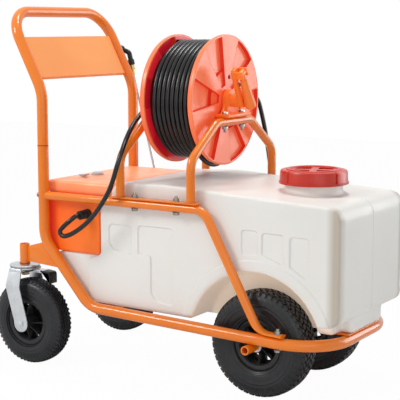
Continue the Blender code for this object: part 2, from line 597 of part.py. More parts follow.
# ---------------------------------------------------------------- casters
CASTER_AXLE_X = CASTER_X + CASTER_TRAIL
for side, s in SIDES:
    y = s * FRAME_HALF
    # Socket tube and gusset, one weldment against the frame's heel.
    bracket = rod("caster_bracket_" + side, 0.0128, (CASTER_X, y, 0.2622), (CASTER_X, y, 0.3155), 18)
    gusset = outline("gusset", [[(CASTER_X + 0.004, 0.3075), (CASTER_X + 0.004, 0.2700), (-0.288, 0.2625), (-0.288, 0.3300), (-0.330, 0.3260)]], 0.0025, "XZ", y)
    gusset = cut(gusset, frame_cutter())
    # Keep only the piece behind the tube.
    gusset = cut(gusset, outline("trim", [[(-0.3345, 0.36), (-0.3345, 0.3345), (-0.2560, 0.2457), (-0.18, 0.2457), (-0.18, 0.36)]], 0.01, "XZ", y))
    bracket = join(bracket, gusset)
    bracket = cut(bracket, rod("socket_bore", 0.0102, (CASTER_X, y, 0.290), (CASTER_X, y, 0.33), 14))
    put(bracket, "frame")

    race = turned("caster_race_" + side, [(0, 0.2618), (0.0395, 0.2618), (0.0400, 0.2610), (0.0400, 0.2562), (0.0060, 0.2562), (0.0060, 0.2392), (0.0105, 0.2392), (0.0105, 0.2320), (0, 0.2320)], 20, (CASTER_X, y, 0))
    put(race, "zinc")

    ax = CASTER_AXLE_X
    crown = turned("caster_fork_" + side, [(0, 0.2552), (0.0385, 0.2552), (0.0385, 0.2500), (0.0300, 0.2438), (0, 0.2438)], 20, (CASTER_X, y, 0))
    for t in (-1, 1):
        # A leg stands upright beside the wheel and leans in to the crown above a fold.
        leg = outline(
            "fork_leg",
            [corners([(CASTER_X - 0.025, 0.2090, 0.0), (CASTER_X - 0.025, 0.2040, 0.0), (ax - 0.0225, CASTER_R + 0.0040, 0.019), (ax - 0.001, CASTER_R - 0.0260, 0.021), (ax + 0.0215, CASTER_R + 0.0040, 0.019), (CASTER_X + 0.0205, 0.2040, 0.0), (CASTER_X + 0.0205, 0.2090, 0.0)], 2)],
            0.0019, "XZ", y + t * FORK_HALF,
        )
        bm = bmesh.new()
        for x0, x1, middle, z in ((-0.0253, 0.0208, FORK_HALF, 0.2075), (-0.0200, 0.0180, 0.0368, 0.2530)):
            for x in (x0, x1):
                for half in (-0.0021, 0.0021):
                    bm.verts.new((CASTER_X + x, y + t * (middle + half), z))
        bmesh.ops.convex_hull(bm, input=bm.verts)
        leg = join(leg, from_bmesh("shoulder_leg", bm))
        crown = join(crown, leg)
    crown = join(crown, box("shoulder", (CASTER_X - 0.0205, y - 0.0420, 0.2446), (CASTER_X + 0.0205, y + 0.0420, 0.2507)))
    crown = cut(crown, rod("pin_way", 0.0064, (CASTER_X, y, 0.22), (CASTER_X, y, 0.27), 28))
    crown = cut(crown, rod("axle_way", 0.0054, (ax, y - 0.06, CASTER_R), (ax, y + 0.06, CASTER_R), 14))
    put(crown, "zinc", origin=(CASTER_X, y, 0.2552))

    bolt = rod("caster_axle_" + side, 0.0050, (ax, y - FORK_HALF - 0.0019, CASTER_R), (ax, y + FORK_HALF + 0.0019, CASTER_R), 14)
    for t in (-1, 1):
        bolt = join(bolt, rod("head", 0.0085, (ax, y + t * (FORK_HALF + 0.0022), CASTER_R), (ax, y + t * (FORK_HALF + 0.0080), CASTER_R), 6))
    bolt = join(bolt, rod("core", 0.0050, (ax, y - FORK_HALF - 0.0045, CASTER_R), (ax, y + FORK_HALF + 0.0045, CASTER_R), 14))
    put(bolt, "zinc")

    wheel("caster_" + side, CASTER_R, CASTER_W, (ax, y, CASTER_R), 0.0050, FORK_HALF - 0.0035)

    # Brake: a pressed lever hinged at the front of the fork crown, with a black pedal over the tyre.
    px = CASTER_X + 0.0448
    lever = corners([(px + 0.024, 0.2515, 0.004), (px + 0.050, 0.2480, 0.004), (px + 0.050, 0.2190, 0.004), (px + 0.031, 0.2250, 0.004), (px + 0.028, 0.2440, 0.002)], 2)
    heel = [(px - 0.0046, 0.2440), (px - 0.0060, 0.2462), (px - 0.0060, 0.2494), (px - 0.0046, 0.2515)]
    brake = outline("brake_lever_" + side, [heel + lever], 0.0150, "XZ", y)
    brake = cut(brake, box("hollow", (px - 0.02, y - 0.0120, 0.2), (px + 0.025, y + 0.0120, 0.2488)))
    put(brake, "zinc", origin=(px, y, 0.2480))

# ---------------------------------------------------------------- hose reel
def sector(r0, r1, mid, inset, x0, x1):
    """A closed 30 degree wedge of a ring round the reel's axis, between two depths."""
    a_in, a_out = math.radians(15) - inset / r0, math.radians(15) - inset / r1
    pts = [(r0 * math.cos(mid - a_in), r0 * math.sin(mid - a_in)), (r0 * math.cos(mid + a_in), r0 * math.sin(mid + a_in))]
    pts += [(r1 * math.cos(mid + a_out * (1 - 2 * k / 4)), r1 * math.sin(mid + a_out * (1 - 2 * k / 4))) for k in range(5)]
    return outline("sector", [[(a, REEL_Z + b) for a, b in pts]], (x1 - x0) / 2, "YZ", (x0 + x1) / 2)


# Both discs are the same moulding and face the same way. Twelve sectors lie by turns flush and sunk,
# and the back has the same relief, so that the wall stays thin.
RELIEF_TURN = math.radians(-7)
for where, face_x in (("front", FRONT_FACE), ("rear", REAR_FACE)):
    disc = turned("reel_disc_" + where, [(0, 0), (DISC_R, 0), (DISC_R, -RIM_T), (DISC_R - 0.0025, -RIM_T), (DISC_R - 0.0025, -DISC_T), (0, -DISC_T)], 48, (face_x, 0, REEL_Z), "X")
    disc = cut(disc, rod("bore", 0.0172 + GAP, (face_x - 0.03, 0, REEL_Z), (face_x + 0.03, 0, REEL_Z), 24))
    for k in range(12):
        mid = RELIEF_TURN + math.radians(30 * k)
        if k % 2 == 0:  # sunk, less so near the hub
            disc = cut(disc, sector(0.074, 0.1575, mid, 0.0, face_x - 0.0110, face_x + 0.002))
            disc = cut(disc, sector(0.036, 0.0752, mid, 0.0, face_x - 0.0070, face_x + 0.001))
        else:  # hollow behind
            disc = cut(disc, sector(0.050, 0.1540, mid, 0.0012, face_x - DISC_T - 0.002, face_x - 0.0030))
    hole_a = math.radians(77)
    hy, hz = 0.058 * math.cos(hole_a), REEL_Z + 0.058 * math.sin(hole_a)
    disc = cut(disc, rod("hole", 0.0060, (face_x - 0.03, hy, hz), (face_x + 0.03, hy, hz), 12))
    put(disc, "plastic", 40, origin=(face_x, 0, REEL_Z))

inner = (FRONT_FACE - DISC_T - REAR_FACE) / 2 - GAP
drum = turned("reel_drum", [(0.052, inner), (0.052, -inner), (0.0172 + GAP, -inner), (0.0172 + GAP, inner)], 24, (WIND_X, 0, REEL_Z), "X")
put(drum, "plastic", origin=(WIND_X, 0, REEL_Z))
bulk = turned("hose_core", [(WIND_R - HOSE_R - 0.0019, inner - 0.0005), (WIND_R - HOSE_R - 0.0019, -inner + 0.0005), (0.052 + GAP, -inner + 0.0005), (0.052 + GAP, inner - 0.0005)], 32, (WIND_X, 0, REEL_Z), "X")
put(bulk, "hose", origin=(WIND_X, 0, REEL_Z))

# The outer layer: one tube wound from the rear disc to the front one. It ends at the far side,
# where it turns out square to the rim, and its free end carries on from there.
per = 20
turn_r = 0.0105
leave = math.acos(turn_r / (WIND_R + turn_r))  # from straight up towards +Y, so that the tube leaves level with the axis
total = int(round(WIND_TURNS * per))
start_x = WIND_X - (WIND_TURNS * WIND_PITCH) / 2
wind = []
for i in range(total + 1):
    a = leave + 2 * math.pi * (i - total) / per
    loose = SLACK * math.exp(-(((a + math.pi) / 0.62) ** 2))  # only the last turn, round its lowest point
    wind.append(Vector((start_x + WIND_PITCH * i / per, (WIND_R + loose) * math.sin(a), REEL_Z + (WIND_R + loose) * math.cos(a))))
wind_x = wind[-1].x
elbow_y = (WIND_R + turn_r) * math.sin(leave)
for q in (0.35, 0.70, 1.0):
    t = -math.pi / 2 - leave * (1 - q)  # round the elbow's middle
    wind.append(Vector((wind_x, elbow_y + turn_r * math.cos(t), REEL_Z + turn_r + turn_r * math.sin(t))))
EXIT_Y = elbow_y + 2 * HOSE_R
wind.append(Vector((wind_x, EXIT_Y, REEL_Z)))
wind.insert(0, wind[0] + (wind[0] - wind[1]).normalized() * 2 * HOSE_R)
least = min((a - b).length for i, a in enumerate(wind) for b in wind[i + 8:]) - 2 * HOSE_R
print(f"winding: {WIND_TURNS} turns, least gap between turns {least * 1000:.2f} mm, ends {wind[-1][:]}")
put(tube("hose_winding", wind, HOSE_R, 1), "hose")

# Shaft through both bearings, with a flat at the front for the crank.
shaft = rod("reel_shaft", 0.0172, (REEL_X - 0.0980, 0, REEL_Z), (REEL_X + 0.1185 - GAP, 0, REEL_Z), 24)
put(shaft, "plastic", origin=(REEL_X, 0, REEL_Z))

for where, s, x in (("front", 1, ARCH_FRONT_X), ("rear", -1, ARCH_REAR_X)):
    base_z = ARCH_TOP_Z + ARCH_TUBE_R + GAP
    x0, x1 = (x - 0.0185, x + 0.0188) if s > 0 else (x - 0.0188, x + 0.0245)
    base = box("bearing_" + where, (x0, -0.056, base_z), (x1, 0.056, base_z + 0.008))
    base = bevelled(base, 0.002, 1)
    saddle_x = x - 0.0095 if s > 0 else x + 0.0165
    saddle = outline("saddle", [[(0.0275 * math.cos(math.pi * k / 10), REEL_Z + 0.0275 * math.sin(math.pi * k / 10)) for k in range(11)] + [(-0.0275, base_z + 0.004), (0.0275, base_z + 0.004)]], 0.0075, "YZ", saddle_x)
    base = join(base, saddle)
    for t in (-1, 1):
        web = outline("web", [[(t * 0.0255, base_z + 0.004), (t * 0.050, base_z + 0.004), (t * 0.0255, REEL_Z - 0.006)]], 0.002, "YZ", saddle_x)
        base = join(base, web)
    base = cut(base, rod("bearing_bore", 0.0172 + GAP, (saddle_x - 0.05, 0, REEL_Z), (saddle_x + 0.05, 0, REEL_Z), 24))
    put(base, "plastic")

# Swivel inlet on the shaft's rear end: the feed hose comes in from the right.
INLET_X = REEL_X - 0.0980 - GAP
inlet = rod("swivel_inlet", 0.0120, (INLET_X, 0, REEL_Z), (INLET_X - 0.026, 0, REEL_Z), 18)
inlet = join(inlet, rod("branch", 0.0085, (INLET_X - 0.013, 0.002, REEL_Z), (INLET_X - 0.013, -0.036, REEL_Z - 0.010), 16))
put(inlet, "black")

# Folding crank. The arm leans to the right at rest and the grip lies folded along it.
ARM_X0 = REEL_X + 0.1185
pivot_y, pivot_z = -CRANK_LEN * math.sin(CRANK_TILT), REEL_Z + CRANK_LEN * math.cos(CRANK_TILT)


def along_arm(points):
    """Points (across, up the arm) turned to the arm's lean, in the plane of the disc."""
    out = []
    for a, b in points:
        out.append((a * math.cos(CRANK_TILT) - b * math.sin(CRANK_TILT), REEL_Z + b * math.cos(CRANK_TILT) + a * math.sin(CRANK_TILT)))
    return out


arm_shape = [(0.0175 * math.cos(math.radians(180 + 18 * k)), 0.0175 * math.sin(math.radians(180 + 18 * k))) for k in range(11)]
arm_shape += [(0.0130, CRANK_LEN - 0.014), (0.0130, CRANK_LEN + 0.004), (0.008, CRANK_LEN + 0.011), (-0.008, CRANK_LEN + 0.011), (-0.0130, CRANK_LEN + 0.004), (-0.0130, CRANK_LEN - 0.014)]
arm = outline("crank_arm", [along_arm(arm_shape)], 0.0050, "YZ", ARM_X0 + 0.0050)
for t in (-1, 1):  # ears that hold the grip
    ear = outline("ear", [along_arm([(t * 0.0095, CRANK_LEN - 0.011), (t * 0.0130, CRANK_LEN - 0.011), (t * 0.0130, CRANK_LEN + 0.009), (t * 0.0095, CRANK_LEN + 0.009)])], 0.0125, "YZ", ARM_X0 + 0.0215)
    arm = join(arm, ear)
put(arm, "plastic", origin=(ARM_X0, 0, REEL_Z))

GRIP_PIVOT_X = ARM_X0 + 0.0100 + 0.0150
side_dir = Vector((0, math.cos(CRANK_TILT), math.sin(CRANK_TILT)))
down_dir = Vector((0, math.sin(CRANK_TILT), -math.cos(CRANK_TILT)))
pv = Vector((GRIP_PIVOT_X, pivot_y, pivot_z))
grip = rod("crank_grip", 0.0082, pv - side_dir * 0.0090, pv + side_dir * 0.0090, 16)
grip = join(grip, rod("grip_neck", 0.0080, pv + down_dir * 0.002, pv + down_dir * 0.022, 16))
grip = join(grip, rod("grip_body", 0.0095, pv + down_dir * 0.018, pv + down_dir * 0.096, 18, 0.0145))
put(grip, "plastic", origin=pv)

# ---------------------------------------------------------------- feed hose, box to reel
OUT = Vector((-0.2085, -BOX_HALF - GAP, 0.4085))
conn = rod("outlet_connector", 0.0125, OUT, OUT + Vector((0, -0.010, 0)), 18)
tip = OUT + Vector((-0.006, -0.030, -0.002))
conn = join(conn, rod("elbow", 0.0105, OUT + Vector((0, -0.006, 0)), tip, 16))
put(conn, "black")
run_dir = (tip - (OUT + Vector((0, -0.006, 0)))).normalized()
b0 = tip + run_dir * GAP
branch_dir = Vector((0, -0.038, -0.010)).normalized()
b1 = Vector((INLET_X - 0.013, -0.036, REEL_Z - 0.010)) + branch_dir * GAP
feed_route = [
    b0, b0 + run_dir * 0.012, (-0.2290, -0.2370, 0.3925), (-0.2440, -0.2400, 0.3790), (-0.2545, -0.2410, 0.3665), (-0.2450, -0.2410, 0.3555), (-0.2205, -0.2400, 0.3620),
    (-0.1883, -0.2380, 0.3819), (-0.1560, -0.2370, 0.4095), (-0.1299, -0.2360, 0.4403), (-0.1095, -0.2350, 0.4700), (-0.1000, -0.2330, 0.4900), (-0.0925, -0.2310, 0.5110),
    (-0.0826, -0.2290, 0.5426), (-0.0797, -0.2150, 0.5727), (-0.0875, -0.1850, 0.6011), (-0.0913, -0.1550, 0.6300), (-0.0982, -0.1200, 0.6498), (-0.0985, -0.0850, 0.6705),
    b1 + branch_dir * 0.012, b1,
]
feed_path, feed_length = run(feed_route, 0.024)
print(f"feed hose: {feed_length:.3f} m, {len(feed_path)} points")
put(tube("feed_hose", feed_path, HOSE_R, 2), "hose")

# ---------------------------------------------------------------- lance, gun and delivery hose on the left side
wand_dir = Vector((0.2547, 0, -0.9670))  # down along the lance
wand_top = Vector((-0.3535, LANCE_Y, 0.7430))


def on_wand(d):
    return wand_top + wand_dir * d


holder_z = UPPER_Z + RAIL_R + GAP
hole_c = on_wand((wand_top.z - (holder_z + 0.002)) / 0.967)
holder = box("lance_holder", (hole_c.x - 0.0430, FRAME_HALF - 0.010, holder_z), (hole_c.x + 0.018, LANCE_Y + 0.016, holder_z + 0.003))
flange = box("flange", (hole_c.x - 0.0430, FRAME_HALF - 0.010, holder_z), (hole_c.x + 0.018, FRAME_HALF - 0.007, holder_z + 0.016))
holder = join(holder, flange)
slot = outline("slot", [[(hole_c.x - 0.0062, LANCE_Y - 0.004), (hole_c.x - 0.003, LANCE_Y - 0.0075), (hole_c.x + 0.003, LANCE_Y - 0.0075), (hole_c.x + 0.0062, LANCE_Y - 0.004), (hole_c.x + 0.0062, LANCE_Y + 0.05), (hole_c.x - 0.0062, LANCE_Y + 0.05)]], 0.02, "XY", holder_z)
holder = cut(holder, slot)
put(holder, "frame")

GUN_D = 0.372
wand = rod("lance_wand", 0.0040, on_wand(0.0008), on_wand(GUN_D), 14)
put(wand, "zinc")
fit = rod("lance_fitting", 0.0075, on_wand(-0.0280), on_wand(-0.0130), 6)
fit = join(fit, rod("fit_low", 0.0062, on_wand(-0.0150), on_wand(0.0005), 14))
put(fit, "brass")
nozzle = rod("nozzle_body", 0.0095, on_wand(-0.0430), on_wand(-0.0283), 8)
elbow_mid = on_wand(-0.0640)
spray_dir = (Vector((-0.80, -0.10, 0.30))).normalized()
nozzle = join(nozzle, rod("stem", 0.0070, on_wand(-0.0380), on_wand(-0.0660), 12))
nozzle = join(nozzle, rod("knee", 0.0070, elbow_mid, elbow_mid + spray_dir * 0.022, 12))
put(nozzle, "black")
cap_at = elbow_mid + spray_dir * 0.0223
cap = rod("nozzle_cap", 0.0105, cap_at, cap_at + spray_dir * 0.020, 12, 0.0095)
cap = cut(cap, rod("jet", 0.0030, cap_at + spray_dir * 0.012, cap_at + spray_dir * 0.03, 10))
put(cap, "black", origin=cap_at)

# Gun: barrel on the wand, body, and a handle that reaches forward.
g0, g1 = on_wand(GUN_D + GAP), on_wand(GUN_D + 0.085)
hand_dir = Vector((0.905, 0, -0.425)).normalized()
gun = rod("spray_gun", 0.0105, g0, g1, 14)
gun = join(gun, rod("collar", 0.0125, g0 + wand_dir * 0.004, g0 + wand_dir * 0.020, 8))
hand_end = g1 + hand_dir * 0.120
gun = join(gun, rod("handle", 0.0125, g1 - hand_dir * 0.010, hand_end, 14))
gun = join(gun, rod("tail", 0.0095, hand_end - hand_dir * 0.005, hand_end + hand_dir * 0.012, 8))
put(gun, "black")
# Trigger: a curved blade under the handle, hung from the body.
trig_n = Vector((hand_dir.z, 0, -hand_dir.x))  # below the handle
tp = g1 - hand_dir * 0.004 + trig_n * 0.0163
blade = [tp - hand_dir * 0.004, tp + hand_dir * 0.020 + trig_n * 0.010, tp + hand_dir * 0.055 + trig_n * 0.016, tp + hand_dir * 0.092 + trig_n * 0.012, tp + hand_dir * 0.104 + trig_n * 0.015]
bl = bent([(*q, 0.01) for q in blade], 2)
put(tube("gun_trigger", bl, 0.0040, 1), "black")

HAND_END = hand_end + hand_dir * 0.012
d0 = HAND_END + hand_dir * GAP
delivery_route = [
    (wind_x, EXIT_Y + GAP, REEL_Z), (wind_x, EXIT_Y + 0.0120, REEL_Z), (0.0712, 0.1950, 0.6850), (0.0757, 0.2050, 0.6550), (0.0840, 0.2140, 0.6000), (0.0925, 0.2240, 0.5200), (0.0965, 0.2300, 0.4550),
    (0.0945, 0.2340, 0.3900), (0.0830, 0.2350, 0.3200), (0.0560, 0.2360, 0.2620), (0.0130, 0.2360, 0.2250), (-0.0350, 0.2350, 0.2140), d0 + hand_dir * 0.045,
    d0 + hand_dir * 0.012, d0,
]
delivery_path, delivery_length = run(delivery_route, 0.026)
print(f"delivery hose, free length: {delivery_length:.3f} m, {len(delivery_path)} points, gun end {tuple(round(v, 4) for v in d0)}")
put(tube("delivery_hose", delivery_path, HOSE_R, 2), "hose")

for left_over in list(CUTTERS.objects):
    left_over.hide_render = True
    left_over.display_type = "WIRE"
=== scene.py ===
"""Studio scene of the wheeled sprayer cart: moulded shells, tyres, hoses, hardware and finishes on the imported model."""

import math

import bmesh
import bpy
from mathutils import Matrix, Vector, noise


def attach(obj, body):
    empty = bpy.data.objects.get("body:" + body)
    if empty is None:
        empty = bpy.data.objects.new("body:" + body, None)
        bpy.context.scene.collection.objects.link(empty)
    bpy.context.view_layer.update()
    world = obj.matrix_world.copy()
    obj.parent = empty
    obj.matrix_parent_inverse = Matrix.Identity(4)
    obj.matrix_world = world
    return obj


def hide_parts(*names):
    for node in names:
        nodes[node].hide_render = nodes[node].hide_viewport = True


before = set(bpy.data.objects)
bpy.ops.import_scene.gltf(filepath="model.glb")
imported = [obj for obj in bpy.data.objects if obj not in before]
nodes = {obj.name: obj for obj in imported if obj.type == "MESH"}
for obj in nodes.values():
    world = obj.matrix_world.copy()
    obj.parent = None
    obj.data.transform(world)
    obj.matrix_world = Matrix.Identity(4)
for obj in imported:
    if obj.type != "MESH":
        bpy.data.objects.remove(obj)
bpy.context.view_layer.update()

# ---------------------------------------------------------------- sizes, in metres
FRAME_HALF, FRAME_R, RAIL_R = 0.200, 0.014, 0.011
LEG_X, GRIP_X, GRIP_Z, KNEE_Z, SEAM_Z = -0.3375, -0.4445, 0.917, 0.715, 0.576
HEEL_Z, TOE_X, TOE_Z, NOSE_X, NOSE_Z = 0.335, -0.1925, 0.171, 0.4675, 0.1485
UPPER_Z, UPPER_BEND_X, FOOT_X, FOOT_END_X = 0.448, 0.148, 0.2985, 0.363
ARCH_REAR_X, ARCH_FRONT_X, ARCH_TOP_Z, ARCH_R = -0.0945, 0.1115, 0.645, 0.0108
WHEEL_R, WHEEL_W, WHEEL_X, WHEEL_Y, AXLE_R = 0.130, 0.080, 0.275, 0.134, 0.0109
CASTER_R, CASTER_W, CASTER_X, CASTER_TRAIL, FORK_HALF = 0.113, 0.062, -0.4058, 0.0245, 0.049
TANK_HALF, TANK_FRONT = 0.1835, 0.4955
TANK_TOP_REAR, TANK_TOP_FRONT, WELL_R = 0.4985, 0.4745, 0.178
LID_X, LID_R, LID_Z, NECK_R = 0.3365, 0.0845, 0.5045, 0.0705
BOX_REAR, BOX_FRONT, BOX_LOW, BOX_TOP, BOX_HALF = -0.3400, -0.1750, 0.3045, 0.4550, 0.1832
BOX_LID_TOP, BOX_LID_FRONT = 0.4870, -0.1410
REEL_X, REEL_Z, DISC_R, DISC_T, RIM_T = 0.0125, 0.6965, 0.1625, 0.014, 0.009
FRONT_FACE, REAR_FACE = REEL_X + 0.078, REEL_X - 0.061  # the relief side of each disc
WIND_X = (FRONT_FACE - DISC_T + REAR_FACE) / 2
HOSE_R, WIND_R, WIND_PITCH, WIND_TURNS, SLACK = 0.006, 0.1440, 0.0130, 8.25, 0.020
CRANK_TILT, CRANK_LEN, ARM_X = math.radians(28), 0.078, 0.1310
LANCE_Y = 0.229

# ---------------------------------------------------------------- camera
camera = bpy.data.objects.new("studio_camera", bpy.data.cameras.new("studio_camera"))
camera.data.lens, camera.data.sensor_width, camera.data.clip_end = 107.26, 36.0, 30
camera.location = (1.6194, -2.5651, 0.8781)
camera.rotation_euler = (math.radians(81.72), 0, math.radians(32.07))
bpy.context.scene.collection.objects.link(camera)
bpy.context.scene.camera = camera
bpy.context.scene.view_settings.view_transform = "Standard"


# ---------------------------------------------------------------- finishes
def finish(name, colour, roughness, metallic=0.0, **sockets):
    mat = bpy.data.materials.new(name)
    mat.use_nodes = True
    shader = mat.node_tree.nodes["Principled BSDF"]
    shader.inputs["Base Color"].default_value = (*colour, 1)
    shader.inputs["Roughness"].default_value = roughness
    shader.inputs["Metallic"].default_value = metallic
    for socket, value in sockets.items():
        shader.inputs[socket.replace("_", " ")].default_value = value
    mat.diffuse_color = (*colour, 1)
    return mat


def shader_nodes(tree, *kinds):
    return [tree.nodes.new("ShaderNode" + kind) for kind in kinds]


def cloud(mat, scale, detail=3.0):
    """A soft noise on the piece's own coordinates."""
    where, field = shader_nodes(mat.node_tree, "TexCoord", "TexNoise")
    field.inputs["Scale"].default_value = scale
    field.inputs["Detail"].default_value = detail
    mat.node_tree.links.new(where.outputs["Object"], field.inputs["Vector"])
    return field.outputs["Fac"]


def between(mat, factor, low, high, start=0.35, end=0.65):
    """The factor's start to end stretched to low to high."""
    node, = shader_nodes(mat.node_tree, "MapRange")
    for socket, value in (("From Min", start), ("From Max", end), ("To Min", low), ("To Max", high)):
        node.inputs[socket].default_value = value
    mat.node_tree.links.new(factor, node.inputs["Value"])
    return node.outputs["Result"]


def blended(mat, factor, colour, socket="Base Color", plain=None):
    """The socket's colour, or plain, turns to another one as the factor goes to 1."""
    tree = mat.node_tree
    into = tree.nodes["Principled BSDF"].inputs[socket]
    blend, = shader_nodes(tree, "Mix")
    blend.data_type = "RGBA"
    if into.links:
        tree.links.new(into.links[0].from_socket, blend.inputs["A"])
    else:
        blend.inputs["A"].default_value = plain or into.default_value
    blend.inputs["B"].default_value = (*colour, 1)
    tree.links.new(factor, blend.inputs["Factor"])
    tree.links.new(blend.outputs["Result"], into)
    return mat


def mottled(mat, other, scale, detail=3.0):
    """The base colour drifts towards another one in soft patches."""
    return blended(mat, between(mat, cloud(mat, scale, detail), 0.0, 1.0), other)


def sheen_varied(mat, low, high, scale):
    """The roughness drifts from low to high in soft patches."""
    tree = mat.node_tree
    tree.links.new(between(mat, cloud(mat, scale, 4.0), low, high), tree.nodes["Principled BSDF"].inputs["Roughness"])
    return mat


def grained(mat, *layers):
    """Bump from layers of (scale, height in metres, detail)."""
    tree = mat.node_tree
    normal = None
    for scale, height, detail in layers:
        bump, = shader_nodes(tree, "Bump")
        bump.inputs["Distance"].default_value = height
        bump.inputs["Strength"].default_value = 1.0
        tree.links.new(cloud(mat, scale, detail), bump.inputs["Height"])
        if normal:
            tree.links.new(normal, bump.inputs["Normal"])
        normal = bump.outputs["Normal"]
    tree.links.new(normal, tree.nodes["Principled BSDF"].inputs["Normal"])
    return mat


def coated(name, colour, roughness, other, patches, sheen, *grain, metallic=0.0, detail=3.0, **sockets):
    """A finish with patches of another colour, sheen (low, high, scale) and layers of grain."""
    mat = mottled(finish(name, colour, roughness, metallic, **sockets), other, patches, detail)
    if sheen:
        sheen_varied(mat, *sheen)
    return grained(mat, *grain)


SATIN, MOULDED = (420, 0.00003, 1), (520, 0.00005, 1)
powder_coat = coated("orange_powder_coat", (0.88, 0.215, 0.010), 0.24, (0.84, 0.195, 0.008), 6, (0.20, 0.27, 18),
    (520, 0.00002, 1), Specular_IOR_Level=0.2, Coat_Weight=0.6, Coat_Roughness=0.04)
seam_shade = coated("seam_shade", (0.30, 0.055, 0.008), 0.6, (0.24, 0.04, 0.006), 40, None, (420, 0.0002, 2))
weld_metal = grained(finish("painted_weld", (0.72, 0.17, 0.016), 0.35, Coat_Weight=0.3), (420, 0.0006, 2))
panel_coat = coated("panel_powder_coat", (0.98, 0.40, 0.12), 0.42, (0.94, 0.36, 0.10), 4, (0.38, 0.48, 14),
    (600, 0.00003, 1), Specular_IOR_Level=0.35)
# The reel plastic's faint red emission is a painted glow that reddens its shaded faces.
reel_plastic = coated("reel_plastic", (1.0, 0.235, 0.085), 0.30, (1.0, 0.200, 0.065), 9, (0.26, 0.36, 20), SATIN,
    Emission_Color=(1.0, 0.04, 0.03, 1), Emission_Strength=0.08)
# Painted shade: a deeper red for the walls of the disc relief, with a faint painted glow.
reel_wall_shade = coated("reel_plastic_wall_shade", (0.90, 0.070, 0.028), 0.36, (0.86, 0.055, 0.022), 9, (0.32, 0.42, 20), SATIN,
    Specular_IOR_Level=0.3, Emission_Color=(1.0, 0.01, 0.03, 1), Emission_Strength=0.03)
# Painted shade and glow: a deep red with a strong emission for the discs' faces towards the winding.
reel_inner_painted_glow = coated("reel_plastic_inner_painted_glow", (0.92, 0.022, 0.030), 0.36, (0.88, 0.018, 0.024), 9, (0.32, 0.42, 20), SATIN,
    Emission_Color=(1.0, 0.01, 0.05, 1), Emission_Strength=0.16)
# The box plastic's faint red emission is a painted glow that reddens its shade.
box_plastic = coated("box_plastic", (1.0, 0.205, 0.018), 0.36, (0.98, 0.15, 0.012), 6, (0.32, 0.42, 24), MOULDED,
    (9, 0.0005, 1), Specular_IOR_Level=0.35, Emission_Color=(1.0, 0.08, 0.01, 1), Emission_Strength=0.07)
# Painted reflection and glow: the cover is a paler, pinker copy of the box's orange, with a faint red emission.
cover_plastic = coated("cover_plastic", (1.0, 0.47, 0.24), 0.33, (1.0, 0.32, 0.12), 6, (0.28, 0.38, 24), MOULDED,
    Emission_Color=(1.0, 0.05, 0.01, 1), Emission_Strength=0.04)
lid_plastic = coated("lid_plastic", (0.58, 0.030, 0.012), 0.30, (0.53, 0.024, 0.010), 14, (0.28, 0.38, 30), MOULDED,
    Specular_IOR_Level=0.45)
# The bracket plastic's faint orange emission is a painted glow.
bracket_plastic = coated("bracket_plastic", (1.0, 0.25, 0.035), 0.32, (1.0, 0.22, 0.028), 9, (0.28, 0.38, 20), SATIN,
    Specular_IOR_Level=0.45, Emission_Color=(1.0, 0.15, 0.0, 1), Emission_Strength=0.06)
tyre_rubber = coated("tyre_rubber", (0.010, 0.011, 0.013), 0.36, (0.016, 0.017, 0.018), 26, (0.28, 0.46, 34),
    (600, 0.00012, 2), Specular_IOR_Level=0.38)
rim_plastic = coated("rim_plastic", (0.016, 0.017, 0.017), 0.36, (0.022, 0.022, 0.023), 20, (0.30, 0.44, 40),
    (500, 0.00005, 1), Specular_IOR_Level=0.35)
# Painted shade: a darker, duller copy of the rim plastic for the web deep in the rim's bowl.
rim_bowl_painted_shade = coated("rim_bowl_painted_shade", (0.005, 0.005, 0.005), 0.45, (0.008, 0.008, 0.008), 24, (0.40, 0.52, 40),
    (500, 0.00005, 1), Specular_IOR_Level=0.2)
zinc_plate = coated("zinc_plate", (0.64, 0.66, 0.67), 0.30, (0.54, 0.56, 0.58), 28, (0.22, 0.40, 45), (320, 0.00004, 2),
    metallic=0.85, detail=5)
bolt_zinc = coated("bolt_zinc", (0.40, 0.38, 0.35), 0.28, (0.28, 0.26, 0.23), 60, (0.2, 0.36, 60), (260, 0.00005, 3),
    metallic=0.95)
yellow_zinc = coated("yellow_zinc", (0.42, 0.33, 0.16), 0.35, (0.36, 0.32, 0.24), 50, (0.28, 0.45, 60),
    (260, 0.00008, 3), metallic=0.9)
brass = coated("turned_brass", (0.74, 0.54, 0.24), 0.26, (0.64, 0.44, 0.18), 60, (0.2, 0.34, 90), (400, 0.00005, 2),
    metallic=1.0)
black_nylon = coated("black_nylon", (0.008, 0.008, 0.009), 0.36, (0.014, 0.014, 0.015), 40, (0.30, 0.44, 60),
    (420, 0.00006, 2), Specular_IOR_Level=0.3)
grey_plastic = coated("grey_plastic", (0.44, 0.42, 0.42), 0.45, (0.46, 0.45, 0.45), 40, (0.38, 0.52, 60),
    (380, 0.0001, 2))
seal_rubber = coated("seal_rubber", (0.02, 0.02, 0.021), 0.6, (0.035, 0.035, 0.035), 60, None, (500, 0.0001, 2))
hub_nylon = coated("hub_nylon", (0.80, 0.79, 0.74), 0.4, (0.74, 0.73, 0.68), 40, (0.34, 0.46, 60), (420, 0.00005, 2))


def painted_rear_shade(mat, colour):
    """Painted shade: the near side turns to colour along the box's rear edge, where shade falls by the leg."""
    tree = mat.node_tree
    where, part, edge = shader_nodes(tree, "TexCoord", "SeparateXYZ", "Math")
    edge.operation = "MULTIPLY"
    tree.links.new(where.outputs["Object"], part.inputs["Vector"])
    tree.links.new(between(mat, part.outputs["X"], 0.9, 0.0, BOX_REAR + 0.006, BOX_REAR + 0.040), edge.inputs[0])
    tree.links.new(between(mat, part.outputs["Y"], 1.0, 0.0, -BOX_HALF + 0.001, -BOX_HALF + 0.010), edge.inputs[1])
    return blended(mat, edge.outputs[0], colour)


# Painted shade: deep red along the box's rear edge on the near side.
painted_rear_shade(box_plastic, (0.95, 0.02, 0.035))


